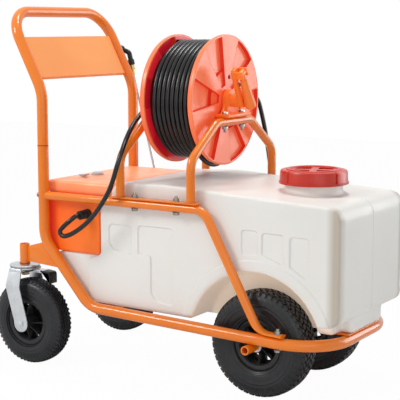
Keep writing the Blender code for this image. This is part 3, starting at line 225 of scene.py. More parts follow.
def tank_finish():
    """Milky polyethylene, with painted warm light (a warmer colour and a warm glow) where the wall bends round the
    wheels and painted shade down the nose's corners.
    """
    mat = coated("tank_plastic", (0.84, 0.825, 0.785), 0.40, (0.81, 0.795, 0.745), 4, (0.34, 0.46, 14), (7, 0.0012, 1),
        (520, 0.00004, 1), Specular_IOR_Level=0.35, Subsurface_Weight=0.12, Subsurface_Radius=(0.016, 0.012, 0.008),
        Subsurface_Scale=0.3, Emission_Strength=0.22)
    tree = mat.node_tree
    where, flat, reach, part, across, corner = shader_nodes(tree, "TexCoord", "Mapping", "VectorMath", "SeparateXYZ",
        "Math", "Math")
    flat.inputs["Location"].default_value = (-WHEEL_X, 0, -WHEEL_R)
    flat.inputs["Scale"].default_value = (1, 0, 1)
    reach.operation, across.operation, corner.operation = "LENGTH", "ABSOLUTE", "MULTIPLY"
    tree.links.new(where.outputs["Object"], flat.inputs["Vector"])
    tree.links.new(flat.outputs["Vector"], reach.inputs[0])
    tree.links.new(where.outputs["Object"], part.inputs["Vector"])
    tree.links.new(part.outputs["Y"], across.inputs[0])
    # Painted warm light: by the wheel wells the base colour turns warmer and the emission glows warm.
    warm = between(mat, reach.outputs["Value"], 1.0, 0.0, WELL_R - 0.002, WELL_R + 0.007)
    # Painted shade: the colour darkens down each corner of the nose.
    near_nose = between(mat, part.outputs["X"], 0.0, 1.0, TANK_FRONT - 0.036, TANK_FRONT - 0.016)
    near_side = between(mat, across.outputs[0], 0.0, 1.0, TANK_HALF - 0.034, TANK_HALF - 0.008)
    tree.links.new(near_nose, corner.inputs[0])
    tree.links.new(near_side, corner.inputs[1])
    blended(mat, warm, (0.88, 0.76, 0.64))
    blended(mat, warm, (1.0, 0.82, 0.66), "Emission Color", (0, 0, 0, 1))
    return blended(mat, corner.outputs[0], (0.55, 0.49, 0.41))


tank_plastic = tank_finish()


def hose_finish():
    """Black hose with fine rings along it, read from the length stored on the tube."""
    mat = sheen_varied(mottled(finish("hose_rubber", (0.004, 0.004, 0.004), 0.16, Specular_IOR_Level=0.45),
        (0.007, 0.007, 0.007), 18), 0.13, 0.2, 30)
    tree = mat.node_tree
    along, turns, wave, bump = shader_nodes(tree, "Attribute", "Math", "Math", "Bump")
    along.attribute_name = "along"
    turns.operation, wave.operation = "MULTIPLY", "SINE"
    turns.inputs[1].default_value = 2 * math.pi / 0.0016  # one ring every 1.6 mm
    bump.inputs["Distance"].default_value = 0.00002
    tree.links.new(along.outputs["Fac"], turns.inputs[0])
    tree.links.new(turns.outputs[0], wave.inputs[0])
    tree.links.new(wave.outputs[0], bump.inputs["Height"])
    tree.links.new(bump.outputs["Normal"], tree.nodes["Principled BSDF"].inputs["Normal"])
    return mat


hose_rubber = hose_finish()


# ---------------------------------------------------------------- modelling helpers
def piece(name, bm, mats, body, replaces=(), angle=35):
    bmesh.ops.recalc_face_normals(bm, faces=bm.faces)
    mesh = bpy.data.meshes.new(name)
    bm.to_mesh(mesh)
    bm.free()
    for mat in mats if isinstance(mats, (list, tuple)) else [mats]:
        mesh.materials.append(mat)
    mesh.shade_smooth()
    mesh.set_sharp_from_angle(angle=math.radians(angle))
    obj = bpy.data.objects.new(name, mesh)
    bpy.context.scene.collection.objects.link(obj)
    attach(obj, body)
    if replaces:
        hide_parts(*([replaces] if isinstance(replaces, str) else replaces))
    return obj


def paint_from(bm, start, index):
    """Gives the faces made since start a material index."""
    for f in list(bm.faces)[start:]:
        f.material_index = index


def bent(points, seg=8):
    """Points (x, y, z, bend radius) to a route whose corners are arcs."""
    p = [Vector(q[:3]) for q in points]
    out = [p[0]]
    for i in range(1, len(p) - 1):
        r = points[i][3]
        a, b = (p[i - 1] - p[i]).normalized(), (p[i + 1] - p[i]).normalized()
        half = a.angle(b) / 2
        if r <= 0 or half > math.radians(89):
            out.append(p[i])
            continue
        middle = p[i] + (a + b).normalized() * (r / math.sin(half))
        sweep_angle = math.pi - 2 * half
        u = (p[i] + a * (r / math.tan(half)) - middle).normalized()
        v = (p[i] + b * (r / math.tan(half)) - middle).normalized()
        for k in range(seg + 1):
            t = k / seg
            swing = u * math.sin((1 - t) * sweep_angle) + v * math.sin(t * sweep_angle)
            out.append(middle + swing / math.sin(sweep_angle) * r)
    out.append(p[-1])
    return out


def smooth_route(points, step):
    """A smooth curve through given points, read at equal steps, its end stretches kept straight."""
    inner = [Vector(q) for q in points[1:-1]]
    p = [2 * inner[0] - inner[1]] + inner + [2 * inner[-1] - inner[-2]]
    fine = []
    for i in range(1, len(p) - 2):
        for k in range(40):
            t = k / 40
            fine.append(
                0.5 * (2 * p[i] + (p[i + 1] - p[i - 1]) * t + (2 * p[i - 1] - 5 * p[i] + 4 * p[i + 1] - p[i + 2]) * t**2
                       + (3 * p[i] - p[i - 1] - 3 * p[i + 1] + p[i + 2]) * t**3)
            )
    fine.append(p[-2])
    length = sum((b - a).length for a, b in zip(fine, fine[1:]))
    n = max(2, round(length / step))
    out, gone, want = [fine[0]], 0.0, length / n
    for a, b in zip(fine, fine[1:]):
        d = (b - a).length
        while d > 0 and gone + d >= want and len(out) < n:
            out.append(a + (b - a) * ((want - gone) / d))
            a, d, gone = out[-1], (b - out[-1]).length, 0.0
        gone += d
    out.append(fine[-1])
    return [Vector(points[0])] + out + [Vector(points[-1])]


def stations(points, side):
    """A frame at each point of a route, carried along it without twist; its X axis starts along side."""
    pts = [Vector(q) for q in points]
    out, x, last = [], Vector(side), None
    for i, p in enumerate(pts):
        ahead = (pts[min(i + 1, len(pts) - 1)] - pts[max(i - 1, 0)]).normalized()
        if last is not None:
            x = last.rotation_difference(ahead) @ x
        elif abs(x.dot(ahead)) > 0.9:
            x = ahead.orthogonal()
        x = (x - ahead * x.dot(ahead)).normalized()
        y = ahead.cross(x)
        out.append(Matrix(((x.x, y.x, ahead.x, p.x), (x.y, y.y, ahead.y, p.y), (x.z, y.z, ahead.z, p.z), (0, 0, 0, 1))))
        last = ahead
    return out


def sweep(bm, points, radius, sides=20, side=(0, 1, 0), scale=None):
    """A round section carried along a route. scale gives each station's (wide, tall) factors."""
    spots = stations(points, side)
    if scale:
        spots = [m @ Matrix.Diagonal((*scale[i], 1, 1)) for i, m in enumerate(spots)]
    along = bm.verts.layers.float.get("along") or bm.verts.layers.float.new("along")
    ring = bmesh.ops.create_circle(bm, cap_ends=True, radius=radius, segments=sides, matrix=spots[0])["verts"]
    edges = {e for v in ring for e in v.link_edges}
    gone = 0.0
    for i in range(1, len(spots)):
        geom = bmesh.ops.extrude_edge_only(bm, edges=list(edges))["geom"]
        verts = {g for g in geom if isinstance(g, bmesh.types.BMVert)}
        edges = {g for g in geom if isinstance(g, bmesh.types.BMEdge) and all(v in verts for v in g.verts)}
        bmesh.ops.transform(bm, matrix=spots[i] @ spots[i - 1].inverted(), verts=list(verts))
        gone += (Vector(points[i]) - Vector(points[i - 1])).length
        for v in verts:
            v[along] = gone
    bmesh.ops.edgeloop_fill(bm, edges=list(edges))
    return bm


AXES = {"X": (Vector((0, 0, 1)), Vector((1, 0, 0))), "Y": (Vector((1, 0, 0)), Vector((0, 1, 0))),
    "Z": (Vector((1, 0, 0)), Vector((0, 0, 1)))}


def lathe(bm, profile, axis, at, steps=64, closed=False):
    """A profile of (radius, height) spun about an axis through at."""
    out, up = AXES[axis] if isinstance(axis, str) else (axis.orthogonal().normalized(), axis.normalized())
    at = Vector(at)
    verts = [bm.verts.new(at + out * r + up * h) for r, h in profile]
    edges = [bm.edges.new(pair) for pair in zip(verts, verts[1:])]
    if closed:
        edges.append(bm.edges.new((verts[-1], verts[0])))
    made = bmesh.ops.spin(bm, geom=verts + edges, cent=at, axis=up, angle=2 * math.pi, steps=steps, use_merge=True,
        use_duplicate=False)
    on_axis = [v for v in bm.verts if (v.co - at).cross(up).length < 1e-7 and abs((v.co - at).dot(up)) < 1.0]
    bmesh.ops.remove_doubles(bm, verts=on_axis, dist=1e-6)
    return made


def edges_of(verts):
    return list({e for v in verts for e in v.link_edges})


def whole(verts):
    """The vertices with all their edges and faces."""
    return verts + edges_of(verts) + list({f for v in verts for f in v.link_faces})


def verts_in(geom):
    return [g for g in geom if isinstance(g, bmesh.types.BMVert)]


def soften(bm, edges, width, segments=2, **more):
    return bmesh.ops.bevel(bm, geom=edges, offset=width, segments=segments, profile=0.5, affect="EDGES", material=-1,
        **more)


def block(bm, low, high, soft=0.001, segments=2):
    """A box between two corners with its edges softened."""
    low, high = Vector(low), Vector(high)
    place = Matrix.Translation((low + high) / 2) @ Matrix.Diagonal((*(high - low), 1))
    soften(bm, edges_of(bmesh.ops.create_cube(bm, size=1, matrix=place)["verts"]), soft, segments)
    return bm


def bar(bm, a, b, r, sides=24, r2=None, soft=0.0):
    """A round bar from a to b, or a cone that ends at r2."""
    a, b = Vector(a), Vector(b)
    turn = (b - a).to_track_quat("Z", "Y").to_matrix().to_4x4()
    verts = bmesh.ops.create_cone(bm, cap_ends=True, segments=sides, radius1=r, radius2=r if r2 is None else r2,
        depth=(b - a).length, matrix=Matrix.Translation((a + b) / 2) @ turn)["verts"]
    if soft:
        along = (b - a).normalized()
        soften(bm, [e for e in edges_of(verts) if abs((e.verts[0].co - e.verts[1].co).normalized().dot(along)) < 0.5],
            soft)
    return bm


def hexagon(bm, at, direction, across, height, dome=0.15):
    """A hexagon head or nut with its upper corners turned off."""
    at, up = Vector(at), Vector(direction).normalized()
    bar(bm, at, at + up * height * (1 - dome), across / math.sqrt(3), 6)
    bar(bm, at + up * height * (1 - dome), at + up * height, across / math.sqrt(3), 6, across / math.sqrt(3) * 0.86)
    return bm


def washer(bm, at, direction, r, thick=0.0014):
    at, up = Vector(at), Vector(direction).normalized()
    return bar(bm, at, at + up * thick, r, 28, soft=thick * 0.3)


def bolt_through(bm, top, bottom, across=0.013, head=0.0055, shank=0.004, tail=0.006):
    """A bolt between two faces: washer and nut with a thread end above, head and washer below."""
    top, bottom = Vector(top), Vector(bottom)
    up = (top - bottom).normalized()
    washer(bm, top, up, across * 0.72)
    hexagon(bm, top + up * 0.0014, up, across, head + 0.001)
    bar(bm, top + up * 0.004, top + up * (0.0014 + head + tail), shank, 14, soft=0.0006)
    washer(bm, bottom, -up, across * 0.72)
    hexagon(bm, bottom - up * 0.0014, -up, across, head)
    return bm


def plate(bm, outline, thick, matrix, soft=0.0006, segments=2):
    """A flat outline of (a, b) given a thickness about its plane, placed by matrix, with its edges softened."""
    base = [bm.verts.new((a, b, -thick / 2)) for a, b in outline]
    verts = verts_in(bmesh.ops.extrude_face_region(bm, geom=[bm.faces.new(base)])["geom"])
    bmesh.ops.translate(bm, vec=(0, 0, thick), verts=verts)
    every = base + verts
    if soft:
        rims = [e for e in edges_of(every) if abs(e.verts[0].co.z - e.verts[1].co.z) < 1e-7]
        made = soften(bm, rims, soft, segments)
        every = list({v for f in made["faces"] for v in f.verts} | {v for v in every if v.is_valid})
    region = set()
    stack = list(every)
    while stack:
        v = stack.pop()
        if v in region:
            continue
        region.add(v)
        stack.extend(e.other_vert(v) for e in v.link_edges)
    bmesh.ops.transform(bm, matrix=matrix, verts=list(region))
    return bm


def rounded(points, seg=5):
    """A closed outline of (a, b, radius) with its corners rounded."""
    out, n = [], len(points)
    for i in range(n):
        p = Vector(points[i][:2])
        r = points[i][2]
        a, b = (Vector(points[i - 1][:2]) - p).normalized(), (Vector(points[(i + 1) % n][:2]) - p).normalized()
        if r <= 0:
            out.append((p.x, p.y))
            continue
        half = math.acos(max(-1, min(1, a.dot(b)))) / 2
        middle = p + (a + b).normalized() * (r / math.sin(half))
        u = (p + a * (r / math.tan(half)) - middle).normalized()
        v = (p + b * (r / math.tan(half)) - middle).normalized()
        turn = math.pi - 2 * half
        for k in range(seg + 1):
            q = middle + (u * math.sin((1 - k / seg) * turn) + v * math.sin(k / seg * turn)) / math.sin(turn) * r
            out.append((q.x, q.y))
    return out


def in_xz(y):
    """Outlines of (x, z) stood upright at y."""
    return Matrix(((1, 0, 0, 0), (0, 0, -1, y), (0, 1, 0, 0), (0, 0, 0, 1)))


def in_yz(x):
    """Outlines of (y, z) stood upright at x."""
    return Matrix(((0, 0, 1, x), (1, 0, 0, 0), (0, 1, 0, 0), (0, 0, 0, 1)))


def weld_ring(bm, at, direction, r, bead=0.0016, steps=40):
    """A fillet of weld round a tube's end, a little uneven."""
    at, up = Vector(at), Vector(direction).normalized()
    out = up.orthogonal().normalized()
    side = up.cross(out)
    pts = []
    for k in range(steps + 1):
        a = 2 * math.pi * k / steps
        wave = 1 + 0.22 * noise.noise(Vector((math.cos(a) * 4, math.sin(a) * 4, at.x * 40)))
        pts.append(at + (out * math.cos(a) + side * math.sin(a)) * (r + bead * 0.35 * wave))
    return sweep(bm, pts, bead, 8, side=up)


SIDES = (("right", -1), ("left", 1))

# ---------------------------------------------------------------- free hoses
OUT = Vector((-0.2085, -BOX_HALF - 0.0003, 0.4085))
elbow_start = OUT + Vector((0, -0.006, 0))
elbow_tip = OUT + Vector((-0.006, -0.030, -0.002))
run_dir = (elbow_tip - elbow_start).normalized()
b0 = elbow_tip + run_dir * 0.0003
INLET_X = REEL_X - 0.0980 - 0.0003
branch_dir = Vector((0, -0.038, -0.010)).normalized()
b1 = Vector((INLET_X - 0.013, -0.036, REEL_Z - 0.010)) + branch_dir * 0.0003
feed_route = [
    b0, b0 + run_dir * 0.012, (-0.2290, -0.2370, 0.3925), (-0.2440, -0.2400, 0.3790), (-0.2545, -0.2410, 0.3665),
    (-0.2450, -0.2410, 0.3555), (-0.2205, -0.2400, 0.3620),
    (-0.1883, -0.2380, 0.3819), (-0.1560, -0.2370, 0.4095), (-0.1299, -0.2360, 0.4403), (-0.1095, -0.2350, 0.4700),
    (-0.1000, -0.2330, 0.4900), (-0.0925, -0.2310, 0.5110),
    (-0.0826, -0.2290, 0.5426), (-0.0797, -0.2150, 0.5727), (-0.0875, -0.1850, 0.6011), (-0.0913, -0.1550, 0.6300),
    (-0.0982, -0.1200, 0.6498), (-0.0985, -0.0850, 0.6705),
    b1 + branch_dir * 0.012, b1,
]


def hose_piece(name, route, node):
    path = smooth_route(route, 0.008)
    obj = piece(name, sweep(bmesh.new(), path, HOSE_R, 20), hose_rubber, "cart", node, angle=60)
    return obj


hose_piece("feed_line", feed_route, "feed_hose")

turn_r = 0.0105
leave = math.acos(turn_r / (WIND_R + turn_r))
wind_x = WIND_X + WIND_TURNS * WIND_PITCH / 2
elbow_y = (WIND_R + turn_r) * math.sin(leave)
EXIT_Y = elbow_y + 2 * HOSE_R

wand_dir = Vector((0.2547, 0, -0.9670))
wand_top = Vector((-0.3535, LANCE_Y, 0.7430))
GUN_D = 0.372
g0, g1 = wand_top + wand_dir * (GUN_D + 0.0003), wand_top + wand_dir * (GUN_D + 0.085)
hand_dir = Vector((0.905, 0, -0.425)).normalized()
hand_end = g1 + hand_dir * 0.120
d0 = hand_end + hand_dir * 0.0123
delivery_route = [
    (wind_x, EXIT_Y + 0.0003, REEL_Z), (wind_x, EXIT_Y + 0.0120, REEL_Z), (0.0712, 0.1950, 0.6850),
    (0.0757, 0.2050, 0.6550), (0.0840, 0.2140, 0.6000), (0.0925, 0.2240, 0.5200), (0.0965, 0.2300, 0.4550),
    (0.0945, 0.2340, 0.3900), (0.0830, 0.2350, 0.3200), (0.0560, 0.2360, 0.2620), (0.0130, 0.2360, 0.2250),
    (-0.0350, 0.2350, 0.2140), d0 + hand_dir * 0.045,
    d0 + hand_dir * 0.012, d0,
]
hose_piece("delivery_line", delivery_route, "delivery_hose")

# ---------------------------------------------------------------- tube frame
def mirrored(half):
    """Half a route of (x, y, z, bend radius) and its mirror image across the cart."""
    return half + [(x, -y, z, r) for x, y, z, r in reversed(half)]


low_leg = [(LEG_X, -FRAME_HALF, SEAM_Z, 0), (LEG_X, -FRAME_HALF, HEEL_Z, 0.075), (TOE_X, -FRAME_HALF, TOE_Z, 0.070),
    (NOSE_X, -FRAME_HALF, NOSE_Z, 0.125)]
grip_half = [(LEG_X, -FRAME_HALF, SEAM_Z, 0), (LEG_X, -FRAME_HALF, KNEE_Z, 0.11),
    (GRIP_X, -FRAME_HALF, GRIP_Z - 0.0003, 0.078)]
for name, half, node in (("frame_loop", low_leg, "main_frame"), ("push_handle", grip_half, "handle_tube")):
    piece(name, sweep(bmesh.new(), bent(mirrored(half), 12), FRAME_R, 28), powder_coat, "cart", node, angle=60)

collar = [(FRAME_R + 0.0001, -0.0030), (FRAME_R + 0.0006, -0.0022), (FRAME_R + 0.0006, -0.0004), (FRAME_R - 0.0004, 0),
    (FRAME_R + 0.0001, 0.0004)]
groove = [(FRAME_R - 0.0006, 0.0002), (FRAME_R + 0.0002, 0.0002), (FRAME_R + 0.0002, 0.0024),
    (FRAME_R - 0.0006, 0.0024)]
for name, profile, closed, mat in (("leg_seams", collar, False, powder_coat),
        ("seam_grooves", groove, True, seam_shade)):
    bm = bmesh.new()
    for _, s in SIDES:  # where the two tubes meet
        lathe(bm, profile, "Z", (LEG_X, s * FRAME_HALF, SEAM_Z), 32, closed=closed)
    piece(name, bm, mat, "cart", angle=60)

# Panel between the leaning legs: a sheet with a rolled lower edge.
lean = Vector((GRIP_X - LEG_X, 0, GRIP_Z - KNEE_Z)).normalized()
out_of = Vector((lean.z, 0, -lean.x))
low = Vector((LEG_X, 0, KNEE_Z)) + lean * 0.036
half_panel = FRAME_HALF - FRAME_R + 0.001
bm = bmesh.new()
section = rounded([(0.118, -0.001, 0), (0.118, 0.001, 0), (0.002, 0.001, 0.0), (0.002, -0.0085, 0), (0.000, -0.0085, 0),
    (0.0, -0.001, 0.002)], 3)
panel_to_world = Matrix(((lean.x, out_of.x, 0, low.x), (0, 0, 1, 0), (lean.z, out_of.z, 0, low.z), (0, 0, 0, 1)))
plate(bm, section, 2 * half_panel, panel_to_world, soft=0)
piece("handle_panel", bm, panel_coat, "cart", "handle_plate", angle=30)

slope = (NOSE_Z - TOE_Z) / (NOSE_X - TOE_X)
foot_z = TOE_Z + (FOOT_END_X - TOE_X) * slope + FRAME_R + 0.0003 + 0.0045
for side, s in SIDES:
    y = s * FRAME_HALF
    path = bent([(LEG_X + 0.008, y, UPPER_Z, 0), (UPPER_BEND_X, y, UPPER_Z, 0.045), (FOOT_X, y, foot_z + 0.003, 0.045),
        (FOOT_END_X, y, foot_z, 0)], 12)
    fine = []
    for a, b in zip(path, path[1:]):  # more stations where the tube is pressed flat
        n = max(1, int((b - a).length / 0.006)) if b.x > FOOT_X - 0.03 else 1
        fine += [a + (b - a) * k / n for k in range(n)]
    fine.append(path[-1])
    scale = []
    for q in fine:
        flat = max(0.0, min(1.0, (q.x - (FOOT_X - 0.020)) / 0.045))
        flat = flat * flat * (3 - 2 * flat)
        scale.append(((RAIL_R + 0.0035 * flat) / RAIL_R, (RAIL_R - 0.0065 * flat) / RAIL_R))
    piece("upper_tube_" + side, sweep(bmesh.new(), fine, RAIL_R, 28, scale=scale), powder_coat, "cart",
        "upper_rail_" + side, angle=50)

for side, s in SIDES:
    bm = bmesh.new()
    z0 = UPPER_Z + RAIL_R + 0.0003
    block(bm, (ARCH_REAR_X - 0.022, s * FRAME_HALF - 0.0125, z0), (ARCH_FRONT_X + 0.022, s * FRAME_HALF + 0.0125,
        z0 + 0.004), 0.0012)
    piece("stand_foot_" + side, bm, powder_coat, "cart", "arch_base_" + side)

ARCH_FOOT = UPPER_Z + RAIL_R + 0.0046
bead = bmesh.new()
for where, x in (("rear", ARCH_REAR_X), ("front", ARCH_FRONT_X)):
    half = [(x, -FRAME_HALF, ARCH_FOOT, 0), (x, -FRAME_HALF, 0.562, 0.045), (x, -0.082, ARCH_TOP_Z, 0.040)]
    path = bent(mirrored(half), 10)
    piece("stand_hoop_" + where, sweep(bmesh.new(), path, ARCH_R, 28, side=(1, 0, 0)), powder_coat, "cart",
        "reel_arch_" + where, angle=60)
    for _, s in SIDES:
        weld_ring(bead, (x, s * FRAME_HALF, ARCH_FOOT + 0.0008), (0, 0, 1), ARCH_R)
        weld_ring(bead, (CASTER_X, s * FRAME_HALF, 0.2640), (0, 0, 1), 0.0128, 0.0012)
piece("stand_welds", bead, weld_metal, "cart", angle=70)

# Front axle, an open tube, and the plates that the tank rests on.
bm = bmesh.new()
for s in (-1, 1):
    bore = [(0, 0.150), (AXLE_R - 0.0032, 0.150), (AXLE_R - 0.0032, 0.2236), (AXLE_R - 0.0026, 0.224),
        (AXLE_R - 0.0005, 0.224), (AXLE_R, 0.2235), (AXLE_R, 0)]
    lathe(bm, [(r, s * h) for r, h in bore], "Y", (WHEEL_X, 0, WHEEL_R), 36)
bmesh.ops.remove_doubles(bm, verts=bm.verts, dist=1e-6)
piece("axle_tube", bm, powder_coat, "cart", "front_axle", angle=40)

bm = bmesh.new()
ring = [(AXLE_R + 0.0002, 0), (0.0150, 0), (0.0153, 0.0004), (0.0153, 0.0020), (0.0150, 0.0024),
    (AXLE_R + 0.0002, 0.0024)]
for s in (-1, 1):
    lathe(bm, [(r, s * (WHEEL_Y + 0.0362 + h)) for r, h in ring], "Y", (WHEEL_X, 0, WHEEL_R), 36, closed=True)
piece("hub_washers", bm, hub_nylon, "cart")

bm = bmesh.new()
block(bm, (0.4300, -0.0880, NOSE_Z + FRAME_R + 0.0003), (0.4780, 0.0880, NOSE_Z + FRAME_R + 0.0043), 0.001)
piece("front_rest", bm, powder_coat, "cart", "tank_rest_front")
bm = bmesh.new()
bar(bm, (-0.150, -FRAME_HALF + 0.002, 0.1685), (-0.150, FRAME_HALF - 0.002, 0.1685), 0.0095, 28)
piece("rear_rest", bm, powder_coat, "cart", "tank_rest_rear", angle=50)

# ---------------------------------------------------------------- bolts of the frame
bm = bmesh.new()
for _, s in SIDES:
    y = s * FRAME_HALF
    for x in (-0.0515, 0.0700):
        bolt_through(bm, (x, y, UPPER_Z + RAIL_R + 0.0043), (x, y, UPPER_Z - RAIL_R))
    x = 0.3495
    rail = TOE_Z + (x - TOE_X) * slope
    bolt_through(bm, (x, y, foot_z + 0.0042), (x, y, rail - FRAME_R))
    washer(bm, (LEG_X - FRAME_R + 0.0004, y, UPPER_Z), (-1, 0, 0), 0.0080)
    hexagon(bm, (LEG_X - FRAME_R - 0.001, y, UPPER_Z), (-1, 0, 0), 0.012, 0.0045)
for x in (ARCH_REAR_X, ARCH_FRONT_X):
    for y in (-0.042, 0.042):
        base = ARCH_TOP_Z + ARCH_R + 0.0083
        washer(bm, (x, y, base), (0, 0, 1), 0.0085)
        hexagon(bm, (x, y, base + 0.0014), (0, 0, 1), 0.012, 0.005)
        washer(bm, (x, y, ARCH_TOP_Z - ARCH_R + 0.0003), (0, 0, -1), 0.0080)
        hexagon(bm, (x, y, ARCH_TOP_Z - ARCH_R - 0.0010), (0, 0, -1), 0.0125, 0.0060)
        bar(bm, (x, y, ARCH_TOP_Z - ARCH_R - 0.006), (x, y, ARCH_TOP_Z - ARCH_R - 0.0150), 0.0038, 14, soft=0.0006)
piece("frame_bolts", bm, bolt_zinc, "cart")

# ---------------------------------------------------------------- wheels
def tyre_profile(r, w, bead):
    """Half of the tyre's section from the bead out, with the fine rings of its wall."""
    return [
        (0.0583, bead - 0.0028), (0.0618, bead - 0.0028), (0.0622, bead + 0.0006), (0.0650, bead + 0.0040),
        (0.0680, w * 0.890), (0.0700, w * 0.905), (0.0707, w * 0.925), (0.0718, w * 0.925), (0.0724, w * 0.915),
        (0.0745, w * 0.945), (r - 0.046, w * 0.978), (r - 0.0375, w * 0.990), (r - 0.0368, w), (r - 0.0358, w),
        (r - 0.0351, w * 0.990), (r - 0.0300, w * 0.988), (r - 0.0293, w * 0.998), (r - 0.0283, w * 0.998),
        (r - 0.0276, w * 0.985), (r - 0.021, w * 0.955), (r - 0.012, w * 0.86), (r - 0.0058, w * 0.66),
        (r - 0.0040, w * 0.36), (r - 0.0034, 0.0),
    ]


SHOULDER = 18  # first point of the profile that lies under the tread


def tyre(bm, r, w, at, bead, rows, lugs, pips):
    """Carcass with a raised tread: rows of (offset across, width, skew, length, count, shift),
    lugs on the shoulders, pips on the walls."""
    half = tyre_profile(r, w, bead)
    outline = half + [(a, -b) for a, b in reversed(half[:-1])]
    lathe(bm, outline, "Y", at, 96, closed=True)
    at = Vector(at)

    def crown(y):
        """Carcass radius at a distance across the tread."""
        for (r0, y0), (r1, y1) in zip(half[SHOULDER:], half[SHOULDER + 1:]):
            if y1 <= abs(y) <= y0:
                return r0 + (r1 - r0) * (y0 - abs(y)) / (y0 - y1)
        return half[SHOULDER][0]

    def around(verts, count, shift=0.0):
        """The pieces just made, set out evenly round the axle."""
        bmesh.ops.rotate(bm, cent=at, matrix=Matrix.Rotation(2 * math.pi * shift / count, 3, "Y"), verts=verts)
        bmesh.ops.spin(bm, geom=whole(list(verts)), cent=at, axis=(0, 1, 0), angle=2 * math.pi * (count - 1) / count,
            steps=count - 1, use_duplicate=True)

    def knob(y0, y1, length, skew, rise, count, shift):
        """One rubber block across y0 to y1 and length along, leaning by skew and tapered to its top,
        repeated round the tyre."""
        mid, wide = (y0 + y1) / 2, abs(y1 - y0)
        base = min(crown(y0), crown(y1)) - 0.0015
        lean = Matrix.Identity(4)
        lean[0][1] = 2 * skew / wide  # skew along the tread as it goes across
        verts = bmesh.ops.create_cube(bm, size=1, matrix=lean @ Matrix.Diagonal((length, wide, 1, 1)))["verts"]
        for v in verts:
            top = v.co.z > 0
            q = 0.86 if top else 1.06
            across = v.co.y * q
            height = min(crown(mid + across) + rise, r) if top else base
            v.co = at + Vector((v.co.x * q, mid + across, height))
        around(verts, count, shift)

    for y0, wide, skew, length, count, shift in rows:
        knob(y0 - wide / 2, y0 + wide / 2, length, skew, 0.0034, count, shift)
    count, length = lugs
    for s in (-1, 1):
        inner, outer = s * w * 0.70, s * w * 0.985
        knob(inner, outer, length, 0.0008, 0.0038, count, 0.5 if s > 0 else 0.0)
        for radius, number in pips:
            depth = w * 0.99
            made = bmesh.ops.create_icosphere(bm, subdivisions=1, radius=0.0009,
                matrix=Matrix.Translation(at + Vector((0, s * depth, radius))))["verts"]
            around(made, number, 0.3 * s)
    return bm


def rim(bm, at, bead, axle_r, hub_half, ribs=8):
    """A moulded rim: satin flange ring, a bowl whose web is painted darker and duller as shade, thin ribs from the hub
    and small windows between them.
    """
    flange = [(0.0500, bead - 0.0040), (0.0512, bead - 0.0014), (0.0540, bead - 0.0002), (0.0570, bead), (0.0605, bead),
        (0.0615, bead - 0.0008), (0.0615, bead - 0.0025), (0.0580, bead - 0.0025)]
    trough = [(0.0490, -bead + 0.0040), (0.0482, -bead + 0.0120), (0.0475, 0.0), (0.0482, bead - 0.0120),
        (0.0490, bead - 0.0040)]
    lathe(bm, flange + [(r, -y) for r, y in reversed(flange)] + trough, "Y", at, 96, closed=True)
    hub = [(axle_r + 0.0003, hub_half), (0.0145, hub_half), (0.0155, hub_half - 0.0010), (0.0170, 0),
        (0.0155, -hub_half + 0.0010), (0.0145, -hub_half), (axle_r + 0.0003, -hub_half)]
    lathe(bm, hub, "Y", at, 48, closed=True)
    rib = [(0.0150, -hub_half * 0.62), (0.0490, -bead * 0.66), (0.0490, bead * 0.66), (0.0150, hub_half * 0.62)]
    for k in range(ribs):
        plate(bm, rib, 0.0022, Matrix.Translation(at) @ Matrix.Rotation(2 * math.pi * k / ribs, 4, "Y"), soft=0.0005,
            segments=1)
    start = len(bm.faces)
    web = bmesh.ops.create_cone(bm, cap_ends=False, segments=96, radius1=0.0150, radius2=0.0484, depth=0.001,
        matrix=Matrix.Translation(at) @ Matrix.Rotation(math.radians(90), 4, "X"))["verts"]
    ring = [e for e in edges_of(web) if len(e.link_faces) == 2]
    bmesh.ops.subdivide_edges(bm, edges=ring, cuts=7, use_grid_fill=True)
    skin, windows = list(bm.faces)[start:], []
    for f in skin:
        c = f.calc_center_median() - at
        r, a = math.hypot(c.x, c.z), math.degrees(math.atan2(c.z, c.x)) % (360 / ribs)
        if 0.0330 < r < 0.0450 and abs(a - 180 / ribs) < 11.5:
            windows.append(f)
    bmesh.ops.delete(bm, geom=windows, context="FACES")
    skin = [f for f in skin if f.is_valid]
    for v in {v for f in skin for v in f.verts}:
        v.co.y = at[1]
    bmesh.ops.recalc_face_normals(bm, faces=skin)
    bmesh.ops.solidify(bm, geom=skin, thickness=0.008)
    middle = list({v for f in list(bm.faces)[start:] for v in f.verts})
    low, high = min(v.co.y for v in middle), max(v.co.y for v in middle)
    bmesh.ops.translate(bm, vec=(0, at[1] - (low + high) / 2, 0), verts=middle)
    paint_from(bm, start, 1)
    return bm


